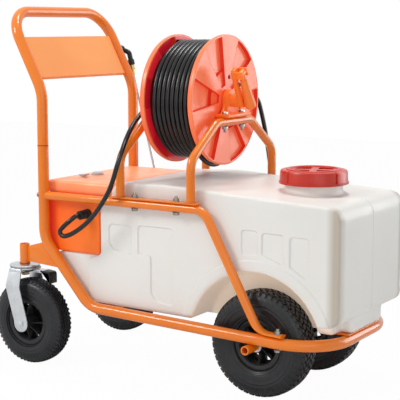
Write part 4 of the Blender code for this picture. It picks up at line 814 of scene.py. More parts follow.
FRONT_ROWS = [(0.0, 0.0100, 0.0036, 0.0120, 48, 0.0), (0.0120, 0.0115, -0.0036, 0.0120, 48, 0.5),
    (-0.0120, 0.0115, -0.0036, 0.0120, 48, 0.5), (0.0235, 0.0095, 0.0034, 0.0112, 48, 0.0),
    (-0.0235, 0.0095, 0.0034, 0.0112, 48, 0.0)]
CASTER_ROWS = [(0.0, 0.0046, 0.0045, 0.0058, 64, 0.0), (0.0068, 0.0056, -0.0050, 0.0058, 64, 0.5),
    (-0.0068, 0.0056, -0.0050, 0.0058, 64, 0.5), (0.0145, 0.0060, 0.0050, 0.0058, 64, 0.0),
    (-0.0145, 0.0060, 0.0050, 0.0058, 64, 0.0)]
for side, s in SIDES:
    at = Vector((WHEEL_X, s * WHEEL_Y, WHEEL_R))
    body = "wheel_front_" + side
    piece("front_tyre_" + side, tyre(bmesh.new(), WHEEL_R, WHEEL_W / 2, at, 0.030, FRONT_ROWS, (48, 0.0105),
        ((0.0870, 18), (0.0925, 14))), tyre_rubber, body, "tyre_front_" + side, angle=40)
    piece("front_rim_" + side, rim(bmesh.new(), at, 0.030, AXLE_R, 0.036), [rim_plastic, rim_bowl_painted_shade], body,
        "rim_front_" + side, angle=40)
    at = Vector((CASTER_X + CASTER_TRAIL, s * FRAME_HALF, CASTER_R))
    body = "wheel_caster_" + side
    piece("caster_tyre_" + side, tyre(bmesh.new(), CASTER_R, CASTER_W / 2, at, 0.025, CASTER_ROWS, (54, 0.0066),
        ((0.0800, 16),)), tyre_rubber, body, "tyre_caster_" + side, angle=40)
    piece("caster_rim_" + side, rim(bmesh.new(), at, 0.025, 0.0050, FORK_HALF - 0.0035), [rim_plastic, rim_bowl_painted_shade], body,
        "rim_caster_" + side, angle=40)

# ---------------------------------------------------------------- casters
for side, s in SIDES:
    y = s * FRAME_HALF
    bm = bmesh.new()
    lathe(bm, [(0, 0.290), (0.0102, 0.290), (0.0102, 0.3150), (0.0108, 0.3155), (0.0122, 0.3155), (0.0128, 0.3150),
        (0.0128, 0.2622), (0, 0.2622)], "Z", (CASTER_X, y, 0), 40)
    gusset = [(CASTER_X + 0.004, 0.3075), (CASTER_X + 0.004, 0.2700), (-0.288, 0.2625), (-0.296, 0.2780),
        (-0.330, 0.3240), (-0.338, 0.3255)]
    plate(bm, gusset, 0.005, in_xz(y), 0.0006)
    piece("caster_arm_" + side, bm, powder_coat, "cart", "caster_bracket_" + side)

    bm = bmesh.new()
    race = [(0, 0.2618), (0.0360, 0.2618), (0.0388, 0.2612), (0.0400, 0.2600), (0.0400, 0.2590), (0.0380, 0.2582),
        (0.0380, 0.2576), (0.0400, 0.2570), (0.0398, 0.2563), (0.0385, 0.2562), (0.0060, 0.2562),
            (0.0060, 0.2320), (0, 0.2320)]
    lathe(bm, race, "Z", (CASTER_X, y, 0), 64)
    n = len(bm.faces)
    washer(bm, (CASTER_X, y, 0.2392), (0, 0, -1), 0.0118, 0.0012)
    hexagon(bm, (CASTER_X, y, 0.2380), (0, 0, -1), 0.019, 0.0060, 0.12)
    paint_from(bm, n, 1)
    piece("swivel_race_" + side, bm, [zinc_plate, yellow_zinc], "cart", "caster_race_" + side)

    ax = CASTER_X + CASTER_TRAIL
    bm = bmesh.new()
    crown = [(0.0064, 0.2552), (0.0372, 0.2552), (0.0385, 0.2544), (0.0385, 0.2512), (0.0370, 0.2500), (0.0300, 0.2446),
        (0.0270, 0.2438), (0.0064, 0.2438)]
    lathe(bm, crown, "Z", (CASTER_X, y, 0), 64, closed=True)
    for t in (-1, 1):
        made = set(bm.verts)
        leg = rounded(
            [(CASTER_X - 0.0200, 0.2545, 0.004), (CASTER_X - 0.0253, 0.2075, 0.03),
            (ax - 0.0225, CASTER_R + 0.0040, 0.03), (ax - 0.0225, CASTER_R - 0.0225, 0.0215),
            (ax + 0.0215, CASTER_R - 0.0225, 0.0215),
             (ax + 0.0215, CASTER_R + 0.0040, 0.03), (CASTER_X + 0.0208, 0.2075, 0.03),
             (CASTER_X + 0.0180, 0.2545, 0.004)], 8)
        plate(bm, leg, 0.0038, in_xz(y + t * FORK_HALF), 0.0009)
        leg_verts = [v for v in bm.verts if v not in made]
        for level in (0.2010, 0.2035, 0.2060, 0.2085, 0.2110, 0.2135):
            bmesh.ops.bisect_plane(bm, geom=whole(leg_verts), plane_co=(0, 0, level), plane_no=(0, 0, 1))
            leg_verts = [v for v in bm.verts if v not in made]
        for v in leg_verts:  # folded inwards above the wheel, the fold itself a soft bend
            over = v.co.z - 0.2070
            lean = 0.0 if over < -0.006 else (over + 0.006) ** 2 / 0.024 if over < 0.006 else over
            v.co.y -= t * lean * 0.268
    block(bm, (CASTER_X - 0.0205, y - 0.0415, 0.2446), (CASTER_X + 0.0205, y + 0.0415, 0.2507), 0.0022)
    piece("fork_" + side, bm, zinc_plate, "fork_" + side, "caster_fork_" + side)

    bm = bmesh.new()
    bar(bm, (ax, y - FORK_HALF - 0.0015, CASTER_R), (ax, y + FORK_HALF + 0.0015, CASTER_R), 0.0050, 20)
    for t in (-1, 1):
        washer(bm, (ax, y + t * (FORK_HALF + 0.0020), CASTER_R), (0, t, 0), 0.0095, 0.0010)
        hexagon(bm, (ax, y + t * (FORK_HALF + 0.0030), CASTER_R), (0, t, 0), 0.0145, 0.0042)
    bar(bm, (ax, y - FORK_HALF - 0.0060, CASTER_R), (ax, y - FORK_HALF - 0.0080, CASTER_R), 0.0040, 16, soft=0.0006)
    piece("wheel_bolt_" + side, bm, zinc_plate, "fork_" + side, "caster_axle_" + side)

    px = CASTER_X + 0.0448
    bm = bmesh.new()
    heel = [(px - 0.0046, 0.2440), (px - 0.0060, 0.2462), (px - 0.0060, 0.2494), (px - 0.0046, 0.2515)]
    plate(bm, heel + [(px + 0.0270, 0.2515), (px + 0.0270, 0.2470), (px + 0.0200, 0.2440)], 0.0240, in_xz(y), 0.0010)
    n = len(bm.faces)
    pedal = rounded([(px + 0.0180, 0.2516, 0.001), (px + 0.0500, 0.2488, 0.008), (px + 0.0500, 0.2190, 0.001),
        (px + 0.0465, 0.2195, 0.001), (px + 0.0462, 0.2448, 0.006), (px + 0.0180, 0.2472, 0.001)], 5)
    plate(bm, pedal, 0.030, in_xz(y), 0.0010)
    paint_from(bm, n, 1)
    piece("foot_brake_" + side, bm, [zinc_plate, black_nylon], "brake_" + side, "brake_lever_" + side)

# ---------------------------------------------------------------- tank
def step_smooth(t):
    t = max(0.0, min(1.0, t))
    return t * t * (3 - 2 * t)


def tank_outline(d=0.0):
    a0, a1 = math.radians(164.5), math.radians(22.5)
    arch = [(WHEEL_X + (WELL_R + d) * math.cos(a0 + (a1 - a0) * k / 24),
        0.130 + (WELL_R + d) * math.sin(a0 + (a1 - a0) * k / 24)) for k in range(25)]
    rest = rounded(
        [(arch[-1][0] + 0.004, arch[-1][1] - 0.003, 0.0), (TANK_FRONT - d, 0.203 + d, 0.030),
        (TANK_FRONT - d, TANK_TOP_FRONT - d, 0.034), (0.020, TANK_TOP_REAR - d, 0.10),
        (-0.1385 + d, TANK_TOP_REAR - 0.006 - d, 0.034),
         (-0.1385 + d, BOX_TOP - 0.0004 - d, 0.004), (BOX_FRONT + 0.0012 + d, BOX_TOP - 0.0004 - d, 0.006),
         (BOX_FRONT + 0.0012 + d, BOX_LOW - 0.0010 - d, 0.006), (-0.3300 + 1.6 * d, BOX_LOW - 0.0010 - d, 0.014),
         (-0.2215 + 0.7 * d, 0.1800 + d, 0.035), (arch[0][0] - 0.003, 0.1750 + d, 0.0)], 6)
    return arch + rest


def as_object(bm, name):
    mesh = bpy.data.meshes.new(name)
    bm.to_mesh(mesh)
    bm.free()
    obj = bpy.data.objects.new(name, mesh)
    bpy.context.scene.collection.objects.link(obj)
    return obj


def applied(obj):
    """The object's mesh with its modifiers in it. The object is removed."""
    bpy.context.view_layer.update()
    mesh = bpy.data.meshes.new_from_object(obj.evaluated_get(bpy.context.evaluated_depsgraph_get()))
    bpy.data.objects.remove(obj, do_unlink=True)
    return mesh


def carved(bm, tool, name):
    """The first body with the second one cut out of it."""
    tool, blank = as_object(tool, name + "_tool"), as_object(bm, name + "_blank")
    m = blank.modifiers.new("cut", "BOOLEAN")
    m.operation, m.object, m.solver = "DIFFERENCE", tool, "EXACT"
    out = bmesh.new()
    out.from_mesh(applied(blank))
    bpy.data.objects.remove(tool, do_unlink=True)
    return out


def rounded_prism(name, outline, half, top_soft, low_soft, segments):
    """An outline of (x, z) drawn across the cart, its rims rounded more at the top and the nose than below."""
    bm = bmesh.new()
    face = bm.faces.new([bm.verts.new((x, -half, z)) for x, z in outline])
    made = bmesh.ops.extrude_face_region(bm, geom=[face])["geom"]
    bmesh.ops.translate(bm, vec=(0, 2 * half, 0), verts=verts_in(made))
    bmesh.ops.recalc_face_normals(bm, faces=bm.faces)
    weight = bm.edges.layers.float.new("bevel_weight_edge")
    for e in bm.edges:
        a, b = (v.co for v in e.verts)
        if abs(a.y - b.y) < 1e-6 and abs(abs(a.y) - half) < 1e-6:
            mid = (a + b) / 2
            e[weight] = 1.0 if mid.z > 0.40 or mid.x > TANK_FRONT - 0.03 else low_soft / top_soft
    obj = as_object(bm, name)
    m = obj.modifiers.new("round", "BEVEL")
    m.width, m.segments, m.limit_method = top_soft, segments, "WEIGHT"
    return applied(obj)


def hull_outline(d=0.0):
    return rounded([(0.487 - d, 0.1671 + d, 0.012), (0.487 - d, 0.330 - d, 0), (-0.150 + d, 0.330 - d, 0),
        (-0.150 + d, 0.1800 + d, 0.0), (-0.060 + d, 0.1671 + d, 0.02)], 4)


bm = bmesh.new()
bm.from_mesh(rounded_prism("tank_body", tank_outline(), TANK_HALF, 0.040, 0.014, 8))
bm.from_mesh(rounded_prism("tank_hull", hull_outline(), 0.085, 0.012, 0.012, 4))
block(bm, (0.4080, -0.1250, 0.1671), (0.4560, 0.1250, 0.2300), 0.010, 4)
bar(bm, (LID_X, 0, 0.440), (LID_X, 0, LID_Z + 0.0140), NECK_R, 96)
blank = as_object(bm, "tank_blank")
m = blank.modifiers.new("skin", "REMESH")
m.mode, m.voxel_size, m.use_smooth_shade = "VOXEL", 0.0050, True
bm = bmesh.new()
bm.from_mesh(applied(blank))
bmesh.ops.smooth_vert(bm, verts=[v for v in bm.verts if abs(math.hypot(v.co.x - LID_X,
    v.co.y) - NECK_R) > 0.002 or v.co.z < 0.49], factor=0.5, use_axis_x=True, use_axis_y=True, use_axis_z=True)

PANELS = [
    [(-0.146, 0.388, 0.012), (-0.076, 0.388, 0.012), (-0.076, 0.316, 0.006), (-0.146, 0.322, 0.028)],
    [(-0.057, 0.391, 0.010), (0.046, 0.391, 0.010), (0.046, 0.198, 0.008), (-0.019, 0.206, 0.030),
    (-0.019, 0.318, 0.008), (-0.057, 0.318, 0.006)],
    [(0.239, 0.407, 0.008), (0.283, 0.407, 0.008), (0.283, 0.351, 0.006), (0.239, 0.348, 0.006)],
    [(0.294, 0.404, 0.008), (0.352, 0.404, 0.008), (0.352, 0.332, 0.006), (0.294, 0.352, 0.006)],
    [(0.367, 0.401, 0.008), (0.416, 0.401, 0.008), (0.416, 0.302, 0.006), (0.367, 0.331, 0.006)],
]
# How far the fields lie in, and how wide their step is.
PANEL_DEEP, FLARE_DEEP, REAR_DEEP, RIB = 0.0036, 0.0022, 0.0030, 0.0018
FLARE_R = 0.2065
panel_shapes = [rounded(p, 4) for p in PANELS]
panel_boxes = [(min(x for x, _ in p) - 0.01, max(x for x, _ in p) + 0.01, min(z for _, z in p) - 0.01,
    max(z for _, z in p) + 0.01) for p in panel_shapes]
rear_field = rounded([(-0.370, 0.3125, 0), (-0.178, 0.3125, 0), (-0.178, 0.302, 0.008), (-0.2106, 0.294, 0.014),
    (-0.2106, 0.150, 0), (-0.370, 0.150, 0)], 5)
FLUTE_DEEP, FLUTE_LOW, FLUTE_IN = 0.0034, 0.21, 0.040


def inside_by(shape, x, z):
    """How far a point lies inside a closed outline, negative outside."""
    best, inside, n = 1e9, False, len(shape)
    for i in range(n):
        (ax, az), (bx, bz) = shape[i - 1], shape[i]
        dx, dz = bx - ax, bz - az
        t = max(0.0, min(1.0, ((x - ax) * dx + (z - az) * dz) / (dx * dx + dz * dz)))
        best = min(best, math.hypot(x - ax - t * dx, z - az - t * dz))
        if (az > z) != (bz > z) and x < ax + (z - az) * dx / dz:
            inside = not inside
    return best if inside else -best


def in_panel(x, z):
    """The most that a point lies inside any pressed panel of the side wall."""
    return max([inside_by(shape, x, z) for shape, (x0, x1, z0, z1) in zip(panel_shapes,
        panel_boxes) if x0 < x < x1 and z0 < z < z1], default=-1.0)


def past_flare(x, z):
    return math.hypot(x - WHEEL_X - 0.003, z - WHEEL_R) - FLARE_R


def past_step(reach):
    """0 outside a field to 1 inside it, over the width of its step."""
    return step_smooth((reach + RIB / 2) / RIB)


close = set()
for f in bm.faces:
    c = f.calc_center_median()
    if abs(c.y) > TANK_HALF - 0.004 and (abs(in_panel(c.x, c.z)) < 0.0065 or abs(past_flare(c.x,
            c.z)) < 0.0060 or abs(inside_by(rear_field, c.x, c.z)) < 0.0060):
        close.update(f.edges)
bmesh.ops.subdivide_edges(bm, edges=list(close), cuts=3, use_grid_fill=True)
for v in bm.verts:
    x, y, z = v.co
    if abs(y) > TANK_HALF - 0.012:
        wall = step_smooth((abs(y) - TANK_HALF + 0.010) / 0.009)
        deep = PANEL_DEEP * past_step(in_panel(x, z)) if abs(y) > TANK_HALF - 0.004 else 0.0
        deep += FLARE_DEEP * past_step(past_flare(x, z)) + REAR_DEEP * past_step(inside_by(rear_field, x, z))
        v.co.y -= math.copysign(deep * wall, y)
    ox, oy = x - (TANK_FRONT - FLUTE_IN), abs(y) - (TANK_HALF - FLUTE_IN)
    if ox > 0 and oy > 0 and FLUTE_LOW < z < TANK_TOP_FRONT:  # a flute down each corner of the nose
        a = math.degrees(math.atan2(oy, ox))
        press = FLUTE_DEEP * step_smooth((a - 12) / 16) * step_smooth((66 - a) / 16)
        press *= step_smooth((z - FLUTE_LOW) / 0.03) * step_smooth((TANK_TOP_FRONT - 0.018 - z) / 0.02)
        v.co -= Vector((ox, math.copysign(oy, y), 0)).normalized() * press
SEAM_R = 0.0009


def drawn_back(x):
    """The nose sits back by the seam's height, so that the seam ends at the tank's full length."""
    return x - SEAM_R * step_smooth((x - 0.42) / 0.06)


for v in bm.verts:
    v.co.x = drawn_back(v.co.x)
seam = [Vector((drawn_back(x), 0, z)) for x, z in tank_outline() if x > 0.40 and z > 0.205][::-1]
sweep(bm, seam, SEAM_R, 6, side=(0, 1, 0))
piece("tank_shell", bm, tank_plastic, "cart", "tank", angle=180)

# ---------------------------------------------------------------- filler lid
CAP_HIGH, CAP_STEPS, SLOT_STEP, WELL_TURN = 0.0355, 288, 45, 20
NARROW_SLOT, WIDE_SLOT = (1.9, 0.0036), (4.5, 0.0012)  # half its width in degrees, and its depth
z0, z1 = LID_Z, LID_Z + CAP_HIGH
bm = bmesh.new()
cap = [
    (0, z1 - 0.0030), (0.0555, z1 - 0.0030), (0.0570, z1 - 0.0026), (0.0582, z1 - 0.0006), (0.0596, z1), (0.0655, z1),
    (0.0668, z1 - 0.0008), (0.0676, z1 - 0.0022), (LID_R - 0.0075, z1 - 0.0026), (LID_R - 0.0045, z1 - 0.0040),
    (LID_R - 0.0028, z1 - 0.0075), (LID_R - 0.0020, z0 + 0.0080), (LID_R - 0.0016, z0 + 0.0060), (LID_R, z0 + 0.0050),
    (LID_R, z0 + 0.0006), (LID_R - 0.0006, z0), (NECK_R + 0.0010, z0), (NECK_R + 0.0010, z1 - 0.0180), (0, z1 - 0.0180),
]
lathe(bm, cap, "Z", (LID_X, 0, 0), CAP_STEPS)
for v in bm.verts:
    dx, dy = v.co.x - LID_X, v.co.y
    r, a = math.hypot(dx, dy), math.degrees(math.atan2(dy, dx))
    if r > 0.0735 and v.co.z > z0 + 0.0055:  # slots down the skirt, by turns narrow and wide
        slot = round((a - SLOT_STEP / 2 + 720) / SLOT_STEP) % 8
        half_wide, deep = NARROW_SLOT if slot % 2 else WIDE_SLOT
        push = deep if abs(a % SLOT_STEP - SLOT_STEP / 2) < half_wide else 0.0
        v.co.x, v.co.y = LID_X + dx * (r - push) / r, dy * (r - push) / r
wells = bmesh.new()
pocket = rounded([(0.0085, 0.0085, 0.004), (0.0500, 0.0085, 0.006), (0.0430, 0.0300, 0.020), (0.0300, 0.0430, 0.020),
    (0.0085, 0.0500, 0.006)], 5)
for k in range(4):  # four pockets that leave a cross-shaped grip
    plate(wells, pocket, 0.0200, Matrix.Translation((LID_X, 0, z1)) @ Matrix.Rotation(math.radians(90 * k + WELL_TURN),
        4, "Z"), soft=0)
piece("filler_cap", carved(bm, wells, "cap"), lid_plastic, "filler_lid", "tank_lid", angle=32)

# ---------------------------------------------------------------- pump box
bm = bmesh.new()
shell = rounded([(BOX_REAR, BOX_LOW, 0.008), (BOX_FRONT, BOX_LOW, 0.008), (BOX_FRONT, BOX_TOP - 0.0004, 0),
    (BOX_REAR, BOX_TOP - 0.0004, 0)], 5)
plate(bm, shell, 2 * BOX_HALF, in_xz(0), 0.004, 3)
piece("pump_housing", bm, box_plastic, "cart", "pump_box")

bm = bmesh.new()
block(bm, (BOX_REAR - 0.0005, -BOX_HALF, BOX_TOP - 0.0001), (BOX_LID_FRONT, BOX_HALF, BOX_LID_TOP), 0.008, 5)
piece("housing_cover", bm, cover_plastic, "box_lid", "pump_box_lid")

# ---------------------------------------------------------------- solids shown as they are
for name, mat in (("lid_seal", seal_rubber), ("battery", grey_plastic), ("pressure_dial", grey_plastic),
        ("power_switch", grey_plastic), ("pump", black_nylon), ("hose_core", hose_rubber), ("reel_drum", reel_plastic)):
    nodes[name].material_slots[0].material = mat

# ---------------------------------------------------------------- reel
RELIEF_TURN = math.radians(-7)


def sector(y, z):
    """The sector that a point is in, 0 to 11 with the even ones sunk, and its degrees from that sector's middle."""
    turn = math.degrees(math.atan2(z, y) - RELIEF_TURN) + 15
    return int((turn % 360) // 30), abs(turn % 30 - 15)


for where, face_x in (("front", FRONT_FACE), ("rear", REAR_FACE)):
    bm = bmesh.new()
    stops = [0.0176, 0.0225, 0.036, 0.050, 0.074, 0.1100, 0.154, 0.1575]
    front = [(r, 0) for r in stops] + [(DISC_R - 0.0008, 0), (DISC_R - 0.0002, -0.0004), (DISC_R, -0.0012)]
    skirt = [(DISC_R, 0.0010 - RIM_T), (DISC_R - 0.0010, -RIM_T), (DISC_R - 0.0025, -RIM_T), (DISC_R - 0.0025, -DISC_T)]
    lathe(bm, front + skirt + [(r, -DISC_T) for r in reversed(stops)], "X", (0, 0, 0), 180, closed=True)
    bmesh.ops.rotate(bm, cent=(0, 0, 0), matrix=Matrix.Rotation(RELIEF_TURN - math.radians(90) + math.radians(15), 3,
        "X"), verts=bm.verts)
    for level, r0, r1, deep, sunk in ((0.0, 0.074, 0.1575, -0.0110, True), (0.0, 0.036, 0.074, -0.0070, True),
            (-DISC_T, 0.050, 0.154, 0.0110, False)):
        chosen = []
        for f in bm.faces:
            c = f.calc_center_median()
            which, off = sector(c.y, c.z)
            if abs(c.x - level) < 1e-5 and r0 < math.hypot(c.y,
                    c.z) < r1 and (which % 2 == 0) == sunk and (sunk or off < 12.5):
                chosen.append(f)
        made = bmesh.ops.extrude_face_region(bm, geom=chosen)["geom"]
        bmesh.ops.delete(bm, geom=chosen, context="FACES")
        bmesh.ops.translate(bm, vec=(deep, 0, 0), verts=verts_in(made))
    bmesh.ops.recalc_face_normals(bm, faces=bm.faces)
    for f in bm.faces:
        c = f.calc_center_median()
        r = math.hypot(c.y, c.z)
        if abs(f.normal.x) < 0.3 and 0.030 < r < 0.158:  # walls of the relief, given the painted-shade red
            f.material_index = 1
        if f.normal.x * (1 if where == "rear" else -1) > 0.5 and r < 0.1575:  # towards the winding, given the deep red with its painted glow
            f.material_index = 2
    soften(bm, [e for e in bm.edges if len(e.link_faces) == 2 and e.calc_face_angle() > math.radians(50)], 0.0009,
        clamp_overlap=True)
    drill = bar(bmesh.new(), (-0.03, 0.0130, 0.0565), (0.03, 0.0130, 0.0565), 0.0060, 32)
    bm = carved(bm, drill, "flange")
    bmesh.ops.translate(bm, vec=(face_x, 0, REEL_Z), verts=bm.verts)
    piece("reel_flange_" + where, bm, [reel_plastic, reel_wall_shade, reel_inner_painted_glow], "reel", "reel_disc_" + where, angle=40)

per = 60
total = int(round(WIND_TURNS * per))
start_x = WIND_X - WIND_TURNS * WIND_PITCH / 2
wind = []
for i in range(total + 1):
    a = leave + 2 * math.pi * (i - total) / per
    turn = WIND_R + SLACK * math.exp(-(((a + math.pi) / 0.62) ** 2))  # the last turn hangs slack round its lowest point
    calm = min(1.0, i / per, max(0.0, (total - i) / per - 0.75))
    sway = 0.0007 * calm * noise.noise(Vector((i * 0.045, 3.1, 0)))
    turn += 0.0008 * calm * noise.noise(Vector((i * 0.06, 9.7, 0)))
    wind.append(Vector((start_x + WIND_PITCH * i / per + sway, turn * math.sin(a), REEL_Z + turn * math.cos(a))))
for q in (0.2, 0.4, 0.6, 0.8, 1.0):
    t = -math.pi / 2 - leave * (1 - q)
    wind.append(Vector((wind_x, elbow_y + turn_r * math.cos(t), REEL_Z + turn_r + turn_r * math.sin(t))))
wind.append(Vector((wind_x, EXIT_Y, REEL_Z)))
wind.insert(0, wind[0] + (wind[0] - wind[1]).normalized() * 2 * HOSE_R)
piece("wound_hose", sweep(bmesh.new(), wind, HOSE_R, 14, side=(1, 0, 0)), hose_rubber, "reel", "hose_winding", angle=60)

bm = bmesh.new()
bar(bm, (REEL_X - 0.0980, 0, REEL_Z), (ARM_X - 0.0003, 0, REEL_Z), 0.0172, 40, soft=0.0008)
piece("reel_spindle", bm, bracket_plastic, "reel", "reel_shaft")

for where, s, x in (("front", 1, ARCH_FRONT_X), ("rear", -1, ARCH_REAR_X)):
    base_z = ARCH_TOP_Z + ARCH_R + 0.0003
    x0, x1 = (x - 0.0185, x + 0.0188) if s > 0 else (x - 0.0188, x + 0.0245)
    bm = bmesh.new()
    block(bm, (x0, -0.056, base_z), (x1, 0.056, base_z + 0.008), 0.0018, 3)
    saddle_x = x - 0.0095 if s > 0 else x + 0.0165
    ring = [(0.0275 * math.cos(math.pi * k / 24), REEL_Z + 0.0275 * math.sin(math.pi * k / 24)) for k in range(25)]
    plate(bm, ring + [(-0.0275, base_z + 0.004), (0.0275, base_z + 0.004)], 0.0150, in_yz(saddle_x), 0.0012)
    for t in (-1, 1):
        plate(bm, [(t * 0.0255, base_z + 0.004), (t * 0.050, base_z + 0.004), (t * 0.0255, REEL_Z - 0.006)][::t], 0.004,
            in_yz(saddle_x), 0.0006)
    piece("spindle_bearing_" + where, bm, bracket_plastic, "cart", "bearing_" + where)

bm = bmesh.new()
bar(bm, (INLET_X, 0, REEL_Z), (INLET_X - 0.026, 0, REEL_Z), 0.0120, 32, soft=0.0010)
bar(bm, (INLET_X - 0.013, 0.002, REEL_Z), (INLET_X - 0.013, -0.036, REEL_Z - 0.010), 0.0085, 28, soft=0.0008)
piece("reel_inlet", bm, black_nylon, "cart", "swivel_inlet")


def along_arm(points):
    c, s = math.cos(CRANK_TILT), math.sin(CRANK_TILT)
    return [(a * c - b * s, REEL_Z + b * c + a * s) for a, b in points]


arm_shape = [(0.0175 * math.cos(math.radians(180 + 7.5 * k)),
    0.0175 * math.sin(math.radians(180 + 7.5 * k))) for k in range(25)]
arm_shape += [(0.0130, CRANK_LEN - 0.014), (0.0130, CRANK_LEN + 0.004), (0.008, CRANK_LEN + 0.011),
    (-0.008, CRANK_LEN + 0.011), (-0.0130, CRANK_LEN + 0.004), (-0.0130, CRANK_LEN - 0.014)]
bm = bmesh.new()
plate(bm, along_arm(arm_shape), 0.0100, in_yz(ARM_X + 0.0050), 0.0014)
for t in (-1, 1):
    ear = [(t * 0.0095, CRANK_LEN - 0.011), (t * 0.0130, CRANK_LEN - 0.011), (t * 0.0130, CRANK_LEN + 0.009),
        (t * 0.0095, CRANK_LEN + 0.009)][::t]
    plate(bm, along_arm(ear), 0.0250, in_yz(ARM_X + 0.0215), 0.0008)
piece("crank_plate", bm, bracket_plastic, "reel", "crank_arm")
bm = bmesh.new()
face = ARM_X + 0.0100
for up in (0.0, CRANK_LEN * 0.60):
    (y, z), = along_arm([(0.0, up)])
    washer(bm, (face, y, z), (1, 0, 0), 0.0062, 0.0010)
    hexagon(bm, (face + 0.0010, y, z), (1, 0, 0), 0.0085, 0.0034)
piece("crank_bolts", bm, bolt_zinc, "reel")

side_dir = Vector((0, math.cos(CRANK_TILT), math.sin(CRANK_TILT)))
down_dir = Vector((0, math.sin(CRANK_TILT), -math.cos(CRANK_TILT)))
pivot = Vector((ARM_X + 0.0250, -CRANK_LEN * math.sin(CRANK_TILT), REEL_Z + CRANK_LEN * math.cos(CRANK_TILT)))
bm = bmesh.new()
bar(bm, pivot - side_dir * 0.0090, pivot + side_dir * 0.0090, 0.0082, 28, soft=0.0006)
grip = [(0, 0.000), (0.0080, 0.000), (0.0080, 0.0170), (0.0092, 0.0180), (0.0098, 0.0200), (0.0144, 0.0900),
    (0.0140, 0.0945), (0.0125, 0.0960), (0, 0.0960)]
lathe(bm, grip, down_dir, pivot, 36)
piece("crank_handle", bm, bracket_plastic, "grip", "crank_grip")

# ---------------------------------------------------------------- outlet, lance and gun
bm = bmesh.new()
bar(bm, OUT, OUT + Vector((0, -0.010, 0)), 0.0125, 12, soft=0.0008)
bar(bm, elbow_start, elbow_tip, 0.0105, 28, soft=0.0008)
for k in range(3):
    q = elbow_start + run_dir * (0.008 + 0.007 * k)
    lathe(bm, [(0.0104, -0.0015), (0.0116, -0.0010), (0.0116, 0.0010), (0.0104, 0.0015)], run_dir, q, 28)
piece("outlet_elbow", bm, black_nylon, "cart", "outlet_connector")


def on_wand(d):
    return wand_top + wand_dir * d


bm = bmesh.new()
bar(bm, on_wand(0.0008), on_wand(GUN_D), 0.0040, 24)
piece("wand_tube", bm, zinc_plate, "lance", "lance_wand", angle=50)
bm = bmesh.new()
bar(bm, on_wand(-0.0280), on_wand(-0.0130), 0.0075, 6, soft=0.0006)
lathe(bm, [(0.0052, 0), (0.0062, 0.001), (0.0062, 0.0150), (0.0050, 0.0155), (0, 0.0155)], wand_dir, on_wand(-0.0150),
    24)
piece("brass_union", bm, brass, "lance", "lance_fitting")
bm = bmesh.new()
bar(bm, on_wand(-0.0430), on_wand(-0.0283), 0.0095, 8, soft=0.0008)
elbow_mid = on_wand(-0.0640)
spray_dir = Vector((-0.80, -0.10, 0.30)).normalized()
sweep(bm, bent([(*on_wand(-0.0380), 0), (*elbow_mid, 0.010), (*(elbow_mid + spray_dir * 0.022), 0)], 8), 0.0070, 20)
piece("nozzle_elbow", bm, black_nylon, "lance", "nozzle_body")
cap_at = elbow_mid + spray_dir * 0.0223
bm = bmesh.new()
lathe(bm, [(0, 0), (0.0100, 0), (0.0105, 0.0008), (0.0105, 0.0060), (0.0098, 0.0190), (0.0088, 0.0200),
    (0.0032, 0.0200), (0.0030, 0.0195), (0.0030, 0.0120), (0, 0.0120)], spray_dir, cap_at, 32)
piece("spray_cap", bm, black_nylon, "cap", "nozzle_cap")

bm = bmesh.new()
sweep(bm, bent([(*g0, 0), (*g1, 0.016), (*(g1 + hand_dir * 0.110), 0), (*hand_end, 0)], 8), 0.0112, 28)
lathe(bm, [(0.0100, 0.004), (0.0125, 0.005), (0.0125, 0.0190), (0.0100, 0.020)], wand_dir, g0, 8)
bar(bm, hand_end - hand_dir * 0.005, hand_end + hand_dir * 0.012, 0.0095, 8, soft=0.0006)
piece("gun_body", bm, black_nylon, "lance", "spray_gun", angle=50)
trig_n = Vector((hand_dir.z, 0, -hand_dir.x))
tp = g1 - hand_dir * 0.004 + trig_n * 0.0163
blade = [tp - hand_dir * 0.004, tp + hand_dir * 0.020 + trig_n * 0.010, tp + hand_dir * 0.055 + trig_n * 0.016,
    tp + hand_dir * 0.092 + trig_n * 0.012, tp + hand_dir * 0.104 + trig_n * 0.015]
bm = bmesh.new()
sweep(bm, bent([(*q, 0.01) for q in blade], 6), 0.0040, 16)
piece("gun_lever", bm, black_nylon, "trigger", "gun_trigger", angle=50)

holder_z = UPPER_Z + RAIL_R + 0.0003
hole = on_wand((wand_top.z - (holder_z + 0.002)) / 0.967)
bm = bmesh.new()
tongue = [(hole.x - 0.0430, FRAME_HALF - 0.010), (hole.x + 0.018, FRAME_HALF - 0.010),
    (hole.x + 0.018, LANCE_Y + 0.016), (hole.x + 0.0062, LANCE_Y + 0.016), (hole.x + 0.0062, LANCE_Y - 0.004),
    (hole.x + 0.003, LANCE_Y - 0.0075),
          (hole.x - 0.003, LANCE_Y - 0.0075), (hole.x - 0.0062, LANCE_Y - 0.004), (hole.x - 0.0062, LANCE_Y + 0.016),
          (hole.x - 0.0430, LANCE_Y + 0.016)]
plate(bm, tongue, 0.003, Matrix.Translation((0, 0, holder_z + 0.0015)), 0.0005)
block(bm, (hole.x - 0.0430, FRAME_HALF - 0.010, holder_z), (hole.x + 0.018, FRAME_HALF - 0.007, holder_z + 0.016),
    0.0006)
piece("lance_rest", bm, powder_coat, "cart", "lance_holder")

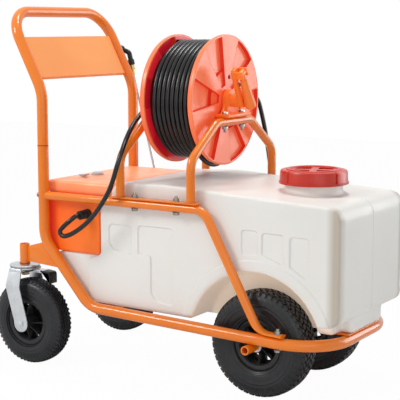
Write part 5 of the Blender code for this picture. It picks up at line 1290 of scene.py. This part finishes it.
# ---------------------------------------------------------------- floor, light and backdrop
bm = bmesh.new()
bmesh.ops.create_grid(bm, x_segments=1, y_segments=1, size=6, matrix=Matrix.Translation((0, 0, -0.0005)))
floor = as_object(bm, "studio_floor")
floor_finish = finish("studio_floor", (0.86, 0.86, 0.86), 0.9)
tree = floor_finish.node_tree
glow, mixer, rays, seen = shader_nodes(tree, "Emission", "MixShader", "LightPath", "Math")
glow.inputs["Strength"].default_value = 1.0
seen.operation = "MULTIPLY"
seen.inputs[1].default_value = 0.97  # how near the floor comes to plain white in the picture
tree.links.new(rays.outputs["Is Camera Ray"], seen.inputs[0])
tree.links.new(seen.outputs[0], mixer.inputs["Fac"])
tree.links.new(tree.nodes["Principled BSDF"].outputs["BSDF"], mixer.inputs[1])
tree.links.new(glow.outputs["Emission"], mixer.inputs[2])
tree.links.new(mixer.outputs["Shader"], tree.nodes["Material Output"].inputs["Surface"])
floor.data.materials.append(floor_finish)

world = bpy.data.worlds.new("studio_world")
bpy.context.scene.world = world
world.use_nodes = True
tree = world.node_tree
tree.nodes.clear()
rays, soft_light, white, seen, through, mixer, world_out = shader_nodes(tree, "LightPath", "Background", "Background",
    "Math", "Math", "MixShader", "OutputWorld")
for light, colour, strength in ((soft_light, (0.97, 0.98, 1.0, 1), 0.52), (white, (1, 1, 1, 1), 1.0)):
    light.inputs["Color"].default_value, light.inputs["Strength"].default_value = colour, strength
seen.operation = through.operation = "MAXIMUM"
tree.links.new(rays.outputs["Is Camera Ray"], seen.inputs[0])
tree.links.new(rays.outputs["Is Transmission Ray"], seen.inputs[1])
tree.links.new(seen.outputs[0], through.inputs[0])
tree.links.new(rays.outputs["Is Glossy Ray"], through.inputs[1])
tree.links.new(through.outputs[0], mixer.inputs["Fac"])
tree.links.new(soft_light.outputs["Background"], mixer.inputs[1])
tree.links.new(white.outputs["Background"], mixer.inputs[2])
tree.links.new(mixer.outputs["Shader"], world_out.inputs["Surface"])

# name, place, height aimed at, size and watts
for name, at, aim_z, size, watts in (("key_light", (-1.6, -2.2, 2.4), 0.4, 0.9, 40),
        ("fill_light", (2.2, -2.0, 1.2), 0.4, 1.8, 9), ("top_light", (0.2, 0.4, 3.0), 0.3, 0.8, 30),
        ("far_reflector", (2.4, 2.6, 1.2), 0.6, 2.2, 60)):
    light = bpy.data.lights.new(name, "AREA")
    light.energy, light.size = watts, size
    obj = bpy.data.objects.new(name, light)
    obj.location = at
    obj.rotation_euler = (Vector((0, 0, aim_z)) - Vector(at)).to_track_quat("-Z", "Y").to_euler()
    obj.visible_diffuse = name != "far_reflector"
    bpy.context.scene.collection.objects.link(obj)
